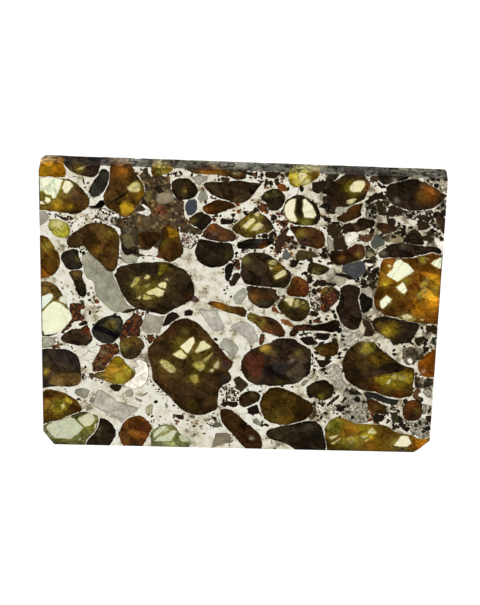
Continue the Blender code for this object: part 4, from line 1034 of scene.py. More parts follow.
# A pit
# One small hollow where a crumb fell out of the face beside two crystals when it was
# ground. Its floor is painted near black, as painted shade in the hollow.
PIT_DEPTH = 0.35
METAL_CLEAR = 0.02
outlines["pit"] = traced([-22.9, 17.3, -21.8, 17.4, -21.3, 17.9, -21, 18.3, -20.4, 18.3, -20.3, 17.5,
                          -20.7, 17, -21.5, 16.8, -22.4, 16.9])


def pit_floor():
    flat = outlines["pit"]
    count = len(flat)
    points = [(x, y, z) for z in (THICKNESS - PIT_DEPTH, METAL_CLEAR) for x, y in flat]
    faces = [tuple(range(count)), tuple(range(2 * count - 1, count - 1, -1))]
    faces += [(k, count + k, count + (k + 1) % count, (k + 1) % count) for k in range(count)]
    # The near-black floor colour is painted shade.
    material, _, shader = new_material("painted shade in the pit", Roughness=0.9, Specular_IOR_Level=0.0)
    shader.inputs["Base Color"].default_value = opaque("#0C0907")
    return piece("pit_floor", points, faces, [material])


pit_floor()

# The metal
# Nickel-iron that filled the space between the crystals. Its faces are ground and
# polished, bright and a little cloudy; the sawn sides are dark and dull.
METAL_RECESS = 0.012
RIM_MIDDLE = 1.3
SAWN_METAL = "#55524A"
MIDDLE_SHADE = 0.7
DARKER_FROM = 4.0
DARKER_TO = 13.0
METAL_TONES = ((0.58, "#867D6A"), (0.66, "#C2B99F"), (0.72, "#E9E3CE"), (0.87, "#FFFDF3"))
CHIP_STEP = 0.8
# Corners for the plate along the upper edge, where it is chipped from below.
CHIP_SUPPORT = [(x * CHIP_STEP, edge_top - CHIP_STEP) for x in range(-34, -14)]
NEARBY = 0.3


def polished_metal():
    """Ground and polished nickel-iron: warm white, in grains of unlike grey, with pits and hairlines."""
    material, tree, shader = new_material("polished nickel-iron", Metallic=1.0)
    place = add(tree, "TexCoord", {}).node.outputs["Object"]
    broad = add(tree, "TexNoise", {"Vector": place, "Scale": 1 / (5.0 * MM), "Detail": 3.0})
    cloud = add(tree, "TexNoise", {"Vector": place, "Scale": 1 / (1.4 * MM), "Detail": 7.0,
                                   "Roughness": 0.66})
    both = add(tree, "Math", {0: broad, 2: cloud, 1: 0.6}, operation="MULTIPLY_ADD")
    gap, grain = long_cells(tree, place, cloud, size=2.4 * MM, stretch=0.55, turn=0.4)
    each = add(tree, "Math", {0: grain, 1: 0.12, 2: -0.06}, operation="MULTIPLY_ADD")
    along = add(tree, "SeparateXYZ", {"Vector": place})
    # The metal grows darker towards the right end of the slice, from x 4 to 13 mm.
    darker_to_right = add(tree, "MapRange", {0: along, "From Min": DARKER_FROM * MM, "From Max": DARKER_TO * MM,
                                    "To Max": -0.08})
    grainy = add(tree, "Math", {0: both, 1: each}, operation="ADD")
    level = add(tree, "Math", {0: grainy, 1: darker_to_right}, operation="ADD")
    tones = add(tree, "ValToRGB", {"Fac": level})
    stops = tones.node.color_ramp.elements
    for position, _ in METAL_TONES[2:]:
        stops.new(position)
    for stop, (position, code) in zip(stops, METAL_TONES):
        stop.position = position
        stop.color = opaque(code)
    line = add(tree, "MapRange", {0: gap, "From Max": 0.02, "To Min": 0.75, "To Max": 0.0})
    worn = add(tree, "MapRange", {0: broad, "From Min": 0.5, "From Max": 0.62})
    crack = add(tree, "Math", {0: line, 1: worn}, operation="MULTIPLY")
    dust = add(tree, "TexNoise", {"Vector": place, "Scale": 1 / (0.28 * MM), "Detail": 3.0,
                                  "Roughness": 0.6})
    deep = add(tree, "Math", {0: both, 2: dust, 1: -0.35}, operation="MULTIPLY_ADD")
    pit = add(tree, "MapRange", {0: deep, "From Min": 0.42, "From Max": 0.47, "To Max": 0.8})
    mark = add(tree, "Math", {0: crack, 1: pit}, operation="MAXIMUM")
    marked = add(tree, "Mix", {0: mark, 6: tones, 7: opaque("#4A3E2E")}, data_type="RGBA")
    tree.links.new(marked, shader.inputs["Base Color"])
    gloss = add(tree, "MapRange", {0: dust, "To Min": 0.4, "To Max": 0.62})
    tree.links.new(gloss, shader.inputs["Roughness"])
    bump = add(tree, "Bump", {"Height": dust, "Strength": 0.15, "Distance": 0.05 * MM})
    tree.links.new(bump, shader.inputs["Normal"])
    return material


def boxed(outline):
    """Least and greatest x and y of an outline."""
    xs, ys = zip(*outline)
    return min(xs), min(ys), max(xs), max(ys)


def clear_of_crystals(points, spare=0.0):
    """Whether each point lies outside every crystal, by at least the spare distance."""
    points = np.asarray(points, float)
    free = np.ones(len(points), bool)
    for outline in outlines.values():
        left, low, right, high = boxed(outline)
        near = ((points[:, 0] > left - NEARBY) & (points[:, 0] < right + NEARBY)
                & (points[:, 1] > low - NEARBY) & (points[:, 1] < high + NEARBY))
        if near.any():
            taken = inside(points[near], outline)
            if spare:
                taken |= distances(points[near], outline) < spare
            free[near] &= ~taken
    return free


def plate():
    points, faces = triangles([divided(edge, TRACE_STEP)] + list(outlines.values()), CHIP_SUPPORT)
    centres = middles(points, faces)
    kept = inside(centres, edge) & clear_of_crystals(centres)
    faces = [face for face, keep in zip(faces, kept) if keep]
    used = {side for face in faces for side in sides_of(face)}
    count = len(points)
    solid = [(x, y, z) for z in (THICKNESS - METAL_RECESS, RIM_MIDDLE) for x, y in points]
    solid += [(x, y, METAL_RECESS + chipped(x, y)) for x, y in points]
    sides = []
    on_rim = distances(points, edge) < RIM_TOLERANCE
    kinds = [0] * (2 * len(faces))
    for a, b in used:
        if (b, a) not in used:
            for upper, lower in ((0, count), (count, 2 * count)):
                sides.append((a + upper, a + lower, b + lower, b + upper))
                kinds.append(int(on_rim[a] and on_rim[b]))
    back = [tuple(index + 2 * count for index in face[::-1]) for face in faces]
    own = colour(SAWN_METAL)
    low = [lower_half(x, y, own) for x, y in points]
    half = [[(a + b) * MIDDLE_SHADE / 2 for a, b in zip(own, shade)] for shade in low]
    rim = [own] * count + half + low
    tones = [(*rim[index], 1.0) for face in faces + back + sides for index in face]
    materials = [polished_metal(), sawn("saw-cut nickel-iron")]
    return piece("metal_plate", solid, faces + back + sides, materials, kinds, tones)


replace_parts(plate(), "metal_matrix")

# Small crystals and fragments
# Crystals that were broken up while the metal was still soft. They sit in it at full
# depth, ground and polished flush with it, and are too small and dark to shine through.
DARK_BROWN = "#241B10"
BROWN_BLACK = "#18120B"
# Outlines of the fragments by group and colour.
FRAGMENTS = {
    "small_crystals_top": {
        BROWN_BLACK: [[-23.6, 21.7, -23.4, 21.8, -23.2, 21, -23.3, 20.7, -23.6, 21.3], [-3.2, 15.6,
         -3, 15.9, -1.5, 15.5, -1.4, 16.2, -1.2, 15.3, -1.5, 15, -2.8, 14.8, -3.2, 14.9], [-4.8, 19.3,
         -4.2, 19.2, -3.9, 19, -4.4, 18.9], [17.9, 19.2, 19.6, 20.5, 20.3, 20.7, 21.4, 19.6, 20.2, 19.7,
         19.2, 19.4, 18.4, 18.7], [27.4, 17.5, 27.6, 17.8, 27.9, 17.4, 27.6, 17.1], [23.1, 14.2, 23.1, 14.5,
         23.4, 14.6, 23.7, 14.4, 23.5, 14], [23.6, 14.2, 23.9, 14.4, 24.4, 14.3, 24.3, 13.9, 23.9, 13.6,
         23.5, 13.8], [28.1, 17.6, 28.5, 17.9, 28.8, 17.2, 28.4, 16.6], [27.9, 14.8, 28.3, 15.2, 28.6, 14.6,
         28.3, 14]],
        DARK_BROWN: [[-27.6, 16, -27.1, 15.6, -26.3, 15.3, -26.9, 15.2, -27.5, 15.6], [-21.8, 15.3,
         -21.5, 15.5, -21.4, 15.2], [-22.5, 16.1, -22.2, 16.3, -22.1, 16], [10.1, 22.1, 12, 22.4,
         12.2, 21.9, 12, 21.2, 11.2, 20.3, 10.8, 20.3, 10.3, 20.6, 10.1, 21], [3.3, 23.8, 5.1, 23.7,
         5, 22.8, 4.6, 22.5, 3.3, 22.7, 3.1, 23.1], [3.3, 22.5, 3.6, 22.3, 3.6, 21.8, 3.3, 21.2, 3.1, 21.8],
         [1.8, 23.6, 2.1, 23.6, 2, 22.8], [0.9, 23.7, 1.4, 23.8, 1.3, 23], [21.9, 18.8, 23.8, 17.7,
         23.6, 17.2, 21.3, 16.8, 21.1, 17.1], [19.5, 19.3, 20.4, 19.2, 20.9, 18.4, 21, 17.8, 20.8, 17.2,
         20.2, 17], [25.8, 16.3, 26.2, 16.5, 27.4, 15.9, 27.8, 15.5, 27.8, 15.2, 27.2, 14.9, 26.4, 14.7,
         26.1, 14.8], [26, 16.8, 26.5, 17.3, 27.3, 17.2, 27.6, 16.8, 27, 16.4, 26.4, 16.4], [24.1, 17,
         24.7, 17.5, 25.2, 17.2, 25.1, 16.8, 24.5, 16.8], [22.1, 13.8, 22.4, 13.9, 22.9, 13.7, 22.9, 13.3,
         22.2, 13.3], [29.2, 13.7, 30, 13.6, 30, 13.1, 29.5, 13], [24.3, 13.9, 24.9, 14.6, 25.6, 15,
         26.3, 14.4, 26.9, 13.6, 27.1, 12.6, 26.2, 12.4, 24.5, 12.5, 24, 13]],
        "#3C2A1A": [[-26.9, 15.1, -26.5, 15.4, -25.7, 15.3, -25.6, 14.9, -26.1, 14.7]],
        "#6E3E1A": [[5, 21.5, 5.6, 21.8, 6.2, 21.6, 6.5, 20.8, 6.2, 20.5, 5.5, 20.5, 5.1, 20.9]],
        "#34281C": [[18.9, 23.9, 19.6, 23.9, 19.9, 23, 19.4, 22.6, 18.8, 22.4, 18.5, 22.9]],
    },
    "small_crystals_middle": {
        DARK_BROWN: [[12.6, 14.5, 12.7, 15.1, 13, 15.4, 13.9, 15.3, 14.2, 14.9, 14.4, 14.2, 14.2, 13.1,
         13.8, 13], [13.7, 12.9, 14.5, 13.2, 15.2, 13.3, 15.5, 12.1, 15.9, 11.7, 15.6, 11.2, 14.7, 11.1,
         14, 11.2, 13.8, 11.8], [11.9, 11.2, 12.6, 11.6, 12.8, 11, 12.5, 10.7, 12.1, 10.7], [-1, 6.8,
         -0.4, 6.9, 0, 6.6, 0, 6.1, -0.4, 5.6, -0.8, 4.7, -1.4, 4.5, -1.7, 4.8], [10.7, 0.8, 11.4, 0.7,
         11.7, 0.3, 11.5, -0.1, 10.9, -0.2, 10.5, 0.2], [-17.9, -0.4, -16.9, 0.2, -15.8, 0.4, -14.6, 0.9,
         -14.8, 0.4, -17, -0.5], [-0.6, 12, 0.2, 12.1, 0.4, 11.4, -0.2, 10.9, -0.6, 11.3]],
        "#4A3424": [[17.3, 13.3, 17.6, 13.6, 18.3, 13.7, 19.4, 14.1, 19.6, 13.8, 19.1, 12.9, 18.7, 12.5,
         18.1, 12.6, 17.3, 13]],
        "#33231A": [[5.2, 12.2, 5.4, 12.9, 6.3, 14.3, 6.6, 14, 6.4, 13.2, 6.6, 12.9, 6.5, 12.2, 6.2, 11.8,
         5.8, 10.6, 5.5, 10.2, 5.2, 10.2, 5.3, 11.5]],
        BROWN_BLACK: [[7.3, 8.9, 7.6, 9.2, 8, 9.3, 8.6, 9.2, 8.6, 8.8, 8.3, 8.2, 8, 8, 7.6, 8, 7.2, 8.2,
         7.4, 8.5], [11.5, 10.2, 12.4, 10.9, 12.8, 10, 12.5, 9.5], [9.1, 7.2, 9.4, 7.1, 9.3, 6.7, 9, 6.8],
         [-17.9, 11.3, -17.6, 11.3, -17.5, 10.7, -16.9, 10.3, -16, 10.3, -15.5, 10, -15.3, 9.6, -15.8, 9.4,
         -16.2, 9.6, -16.9, 9.3, -17.3, 9.4, -17.9, 10.4], [-8.3, 0.2, -7.7, 0.4, -7.1, 0.3, -7, -0.1,
         -7.2, -0.6, -8, -0.7, -8.4, -0.6], [-10.9, -0.5, -10.2, 0, -9.5, -0.2, -9, -0.9, -9.5, -1.2,
         -10.6, -2.2, -11.1, -2.5, -11.7, -2.6, -11.1, -0.8], [-2.5, 4.1, -2.2, 4, -2.3, 3.7, -2.6, 3.8],
         [-2.8, 7.6, -2.5, 7.5, -2.6, 7.2, -2.8, 7.3]],
        "#352C18": [[8.1, 9.5, 8, 10, 8.4, 10.9, 8.9, 11, 9.5, 10.8, 10.2, 10.9, 10.8, 10.7, 11.4, 10,
         9.2, 9.2, 8.6, 9.2]],
        "#22281C": [[19.2, 11.6, 19.6, 11.5, 19.8, 10.9, 19.4, 10.9]],
        "#5A3418": [[4.8, 1.2, 5.3, 1.3, 6.1, 0.2, 5.8, 0.1, 5.3, 0.4, 4.8, 0.5]],
        "#6A4422": [[6.1, -0.9, 6.6, -0.8, 7.3, -0.9, 8.3, -1.9, 8.1, -2.2, 6.9, -1.8, 6.5, -1.5]],
        "#4A2A1C": [[11.1, -0.8, 12.4, -0.9, 12.6, -1.2, 12, -1.4, 11.2, -1.2]],
    },
    "small_crystals_right": {
        BROWN_BLACK: [[14, 7.2, 15.6, 7.2, 16.3, 6.9, 17.5, 6, 17.3, 5.8, 16.9, 6.2, 16.2, 6.2, 15.6, 6.6,
         14.3, 6.9], [18.2, 9.6, 19, 9.7, 19.6, 9.5, 19.9, 8.9, 19.4, 9.1, 18.9, 9], [18.7, 8.5, 19.2, 8.4,
         19.9, 8.8, 19.8, 8.3, 19.1, 8.1], [19.1, 7.3, 19.6, 7.6, 20, 7.6, 20.3, 7.1, 20.1, 6.4, 19.7, 6.1,
         19.6, 6.6, 19.2, 7], [17.7, 5.5, 18.3, 5.9, 18.9, 6, 18.9, 5.6, 18.6, 5.1], [17.3, 6.4, 17.6, 6.7,
         17.8, 6.2, 17.5, 5.9], [18.3, 7.2, 18.6, 7.6, 18.9, 7, 18.5, 6.6], [11.5, -3.2, 11.9, -3,
         13.5, -3.1, 13.7, -3.5, 13.6, -4, 13.1, -4.3, 12.2, -4.2, 11.7, -4], [9.1, -4.1, 9.7, -3.8,
         11.1, -3.6, 11.8, -5.1, 10.4, -5.2, 9.9, -4.9], [11.8, -7.7, 14.3, -7.7, 14, -8.2, 12.9, -9.1,
         12.4, -8.9], [11.1, -6.7, 11.3, -6.6, 11.5, -7.5, 11.2, -7.3], [11.3, -9.3, 11.5, -9.2, 11.8, -10,
         11.6, -10], [-3.9, -4.5, -3.5, -4.3, -3.2, -4.6, -3.3, -4.9, -3.8, -4.8]],
        DARK_BROWN: [[19.2, 5.2, 19.4, 5.8, 20, 6.2, 20.2, 5.6, 20.1, 4.6, 19.7, 4.7], [19, -3.4,
         18.9, -2.8, 19.1, -2.2, 19, -1.5, 19.1, -0.9, 19.4, -0.7, 19.8, -1, 20.4, -2.9, 20.2, -3.3,
         19.6, -3.5], [26.7, -3.5, 28, -3.1, 28.1, -3.4, 27.8, -4.1, 27.3, -4.7, 26.9, -4.5, 26.6, -4],
         [28.2, -1.3, 29.9, -1.2, 29.9, -2, 29.3, -2.1, 28.6, -2.6, 28.2, -2], [9, -3.3, 11, -2.9,
         10.2, -3.4, 9.2, -3.6], [29.3, -15.1, 29.8, -15.4, 29.9, -15.8, 29.7, -16.6, 29.4, -16.9,
         29.3, -16.2, 29.6, -15.7]],
        "#4A3420": [[27.4, -12.3, 27.8, -12.2, 28.2, -12.8, 27.7, -13.3, 27.9, -13.9, 27.3, -14.2,
         27, -13.8, 26.9, -13]],
        "#22281C": [[29.3, -3.2, 29.8, -3.4, 29.8, -4.4, 29.4, -4.6, 29.1, -3.9]],
    },
    "small_crystals_lower": {
        BROWN_BLACK: [[-24.4, -2.6, -23.4, -1.9, -23, -2.1, -23, -2.6, -24.1, -2.9], [-22.8, -0.2,
         -22.5, -0.2, -22.4, -0.6, -22.6, -1.1, -22.8, -0.8], [-2.7, -16.1, -2.3, -15.7, -1.6, -15.4,
         -0.7, -15.5, 0, -15.4, 0.1, -15.9, -0.2, -16.4, -0.7, -16.5, -1.4, -16.2, -2.2, -16.3],
         [1.5, -16.6, 2.9, -15.9, 3.1, -15.9, 3.4, -17, 3.2, -17.5, 2.7, -17.6, 2.5, -18, 2.3, -17.7,
         1.7, -17.5], [-12.9, -15.8, -12.5, -15.5, -12.2, -15.8, -12.5, -16.2, -12.9, -16], [-3.2, -18,
         -2.9, -17.6, -2.9, -18], [-2.9, -18.4, -2.5, -19.1, -2.7, -19.2], [15.2, -16.3, 15.7, -15.9,
         16.8, -15.5, 16.7, -16, 15.7, -16.8, 15.3, -16.6], [16.1, -17, 16.5, -16.8, 16.6, -17.2,
         16.3, -17.3], [17.1, -13.1, 17.6, -12.8, 17.9, -13.3, 17.4, -13.8], [17.6, -12.6, 18.4, -12.9,
         19, -13.4, 19.1, -13.7, 18.3, -13.3], [21, -17.3, 21.3, -17, 22.7, -17.2, 22.8, -17.8, 22.4, -18.3,
         21.7, -18.5, 21.1, -18.4, 20.9, -17.9], [-29.9, -4.5, -28.6, -4.5, -27.5, -4.2, -27.9, -4.5,
         -28.8, -4.8, -29.9, -4.8]],
        "#3E2C26": [[-22.9, -11.1, -22.3, -11, -21.9, -11.3, -22.1, -11.9, -22.6, -12.2]],
        DARK_BROWN: [[-23.7, -11.8, -23.4, -12, -23.8, -12.2], [-19.8, -13.3, -19.3, -12.9, -18.6, -12.9,
         -17.9, -13.1, -17.9, -13.7, -18.3, -14.2, -18.8, -14.2, -19.3, -13.9], [4.1, -19.6, 4.2, -19.2,
         4.6, -19.2, 5.1, -19.6, 4.7, -19.8], [-6.9, -20, -6.5, -19.8, -6.5, -20.2, -6.8, -20.3],
         [-5.7, -20.6, -5.3, -20.3, -5.3, -20.6], [-4.1, -20, -3.7, -19.7, -3.6, -19.9], [12.9, -15.2,
         13.6, -15.2, 13.2, -16.1, 12.8, -15.8], [13.3, -16.9, 13.6, -16.7, 14.1, -17.2, 13.8, -17.4,
         13.4, -17.3], [13.7, -15.6, 14.8, -14.3, 15.4, -13.8, 15.7, -13.9, 15.5, -14.4, 13.9, -15.9],
         [15.9, -15.1, 16.2, -14.5, 16.7, -14.1, 16.9, -14.3, 16.2, -15.2], [23, -18.6, 23.3, -17.8,
         23.6, -18, 23.5, -18.5, 23.2, -18.7], [25.1, -18.3, 25.4, -18.1, 26.3, -19.2, 26.9, -19.3,
         25.8, -19.7, 25.3, -19.2, 25.1, -18.8], [24.1, -19.3, 24.5, -19, 24.8, -19.3, 24.5, -19.6]],
        "#35291A": [[-0.7, -11.5, -0.3, -11.1, 0.2, -10.9, 1.4, -12.1, 1.6, -12.6, 0.5, -13.7, -0.4, -13.1,
         -0.3, -12.6]],
        "#2E2014": [[-9.6, -18.4, -9.3, -18, -8.3, -18.1, -8.2, -18.9, -8.9, -18.9]],
        "#24221E": [[19.4, -13.3, 19.9, -13.1, 21, -13.2, 22.1, -13.6, 23, -14.1, 24.8, -14.4, 24.6, -15.2,
         24, -15.4, 22.4, -14.9, 20.5, -14.1, 20, -14.5, 19.6, -14]],
        "#2E2C16": [[24.7, -16.6, 25, -18, 24.8, -18.5, 24.3, -18.4, 23.8, -17.9, 23.7, -17.4,
         24.1, -16.9]],
    },
}
FRAGMENT_STEP = 0.22
FRAGMENT_TONES = (0.85, 1.2)
ROUGH_EDGE = 0.035


def roughened(outline, step, rng, amount=ROUGH_EDGE):
    """Outline with its corners kept and its sides broken up. It ends just inside the sawn sides."""
    drawn = []
    for start, end in sides_of(outline):
        pieces = max(1, round(math.dist(start, end) / step))
        for k in range(pieces):
            shake = (rng.uniform(-amount, amount), rng.uniform(-amount, amount))
            drawn.append(tuple(start[i] + (end[i] - start[i]) * k / pieces + shake[i] for i in (0, 1)))
    return trimmed(drawn, inner_edge)


class Pile:
    """Gathers many small solids of one material into one mesh."""

    def __init__(self):
        self.points, self.faces, self.tones = [], [], []

    def slab(self, flat, cells, colours, top, bottom=0.0):
        """Adds a plate from a flat mesh of cells. colours holds one linear colour per cell."""
        first, count = len(self.points), len(flat)
        self.points += [(x, y, top) for x, y in flat] + [(x, y, bottom) for x, y in flat]
        sides = {}
        for cell, tone in zip(cells, colours):
            self.face(tuple(first + k for k in cell), tone)
            self.face(tuple(first + count + k for k in cell[::-1]), tone)
            for side in sides_of(cell):
                sides[side] = tone
        for (a, b), tone in sides.items():
            if (b, a) not in sides:
                self.face((first + a, first + count + a, first + count + b, first + b), tone)

    def flake(self, outline, tone, top):
        """Adds a thin plate that lies on the metal and stands flush with the face."""
        self.slab(outline, [tuple(range(len(outline)))], [tone], top, THICKNESS - METAL_RECESS)

    def face(self, corners, tone):
        self.faces.append(corners)
        self.tones += [(*tone, 1.0)] * len(corners)

    def build(self, name, material):
        return piece(name, self.points, self.faces, [material], tones=self.tones)


def filled(outline, rings=()):
    """Triangles inside an outline and outside every crystal, parted along the rings."""
    left, low, right, high = boxed(outline)
    near = [o for o in outlines.values()
            if boxed(o)[0] < right and boxed(o)[2] > left and boxed(o)[1] < high and boxed(o)[3] > low]
    flat, cells = triangles([outline] + list(rings) + near, [])
    centres = middles(flat, cells)
    kept = inside(centres, outline) & clear_of_crystals(centres)
    return flat, [cell for cell, keep in zip(cells, kept) if keep]


def toned(code, bright=1.0):
    return tuple(part * bright for part in colour(code))


def mottled(name, roughness, gloss, size, darkest, brightest):
    """Dull mineral in the colours of its pieces, mottled by a noise of one size."""
    material, tree, shader, tone, place = toned_material(
        name, Roughness=roughness, Specular_IOR_Level=gloss)
    blotch = add(tree, "TexNoise", {"Vector": place, "Scale": 1 / (size * MM), "Detail": 5.0,
                                    "Roughness": 0.65})
    cloud = add(tree, "MapRange", {0: blotch, "From Min": 0.31, "From Max": 0.7, "To Min": darkest,
                                   "To Max": brightest})
    mixed = add(tree, "VectorMath", {0: tone, "Scale": cloud}, operation="SCALE")
    tree.links.new(mixed, shader.inputs["Base Color"])
    return material


broken = mottled("broken dark olivine", roughness=0.4, gloss=0.03, size=0.55, darkest=0.6, brightest=1.9)
for name, group in FRAGMENTS.items():
    rng = random.Random(name)
    pile = Pile()
    for code, places in [(code, places) for code, shapes in group.items() for places in shapes]:
        shape = roughened(traced(places), FRAGMENT_STEP, rng)
        flat, cells = filled(shape)
        tone = toned(code, rng.uniform(*FRAGMENT_TONES))
        pile.slab(flat, cells, [tone] * len(cells), THICKNESS)
    pile.build(name, broken)

# Inlays of schreibersite and troilite
# Grey phosphide and bronze-grey sulphide that filled gaps in the metal. They are harder
# than the metal, polish flush with it and are parted from it by a thin dark seam.
INLAY_TOP = THICKNESS - 0.002
INLAY_STEP = 0.3
SEAM_WIDTH = 0.07
SEAM = "#4E4A3C"
BRIGHT_METAL = "#EAE6DC"
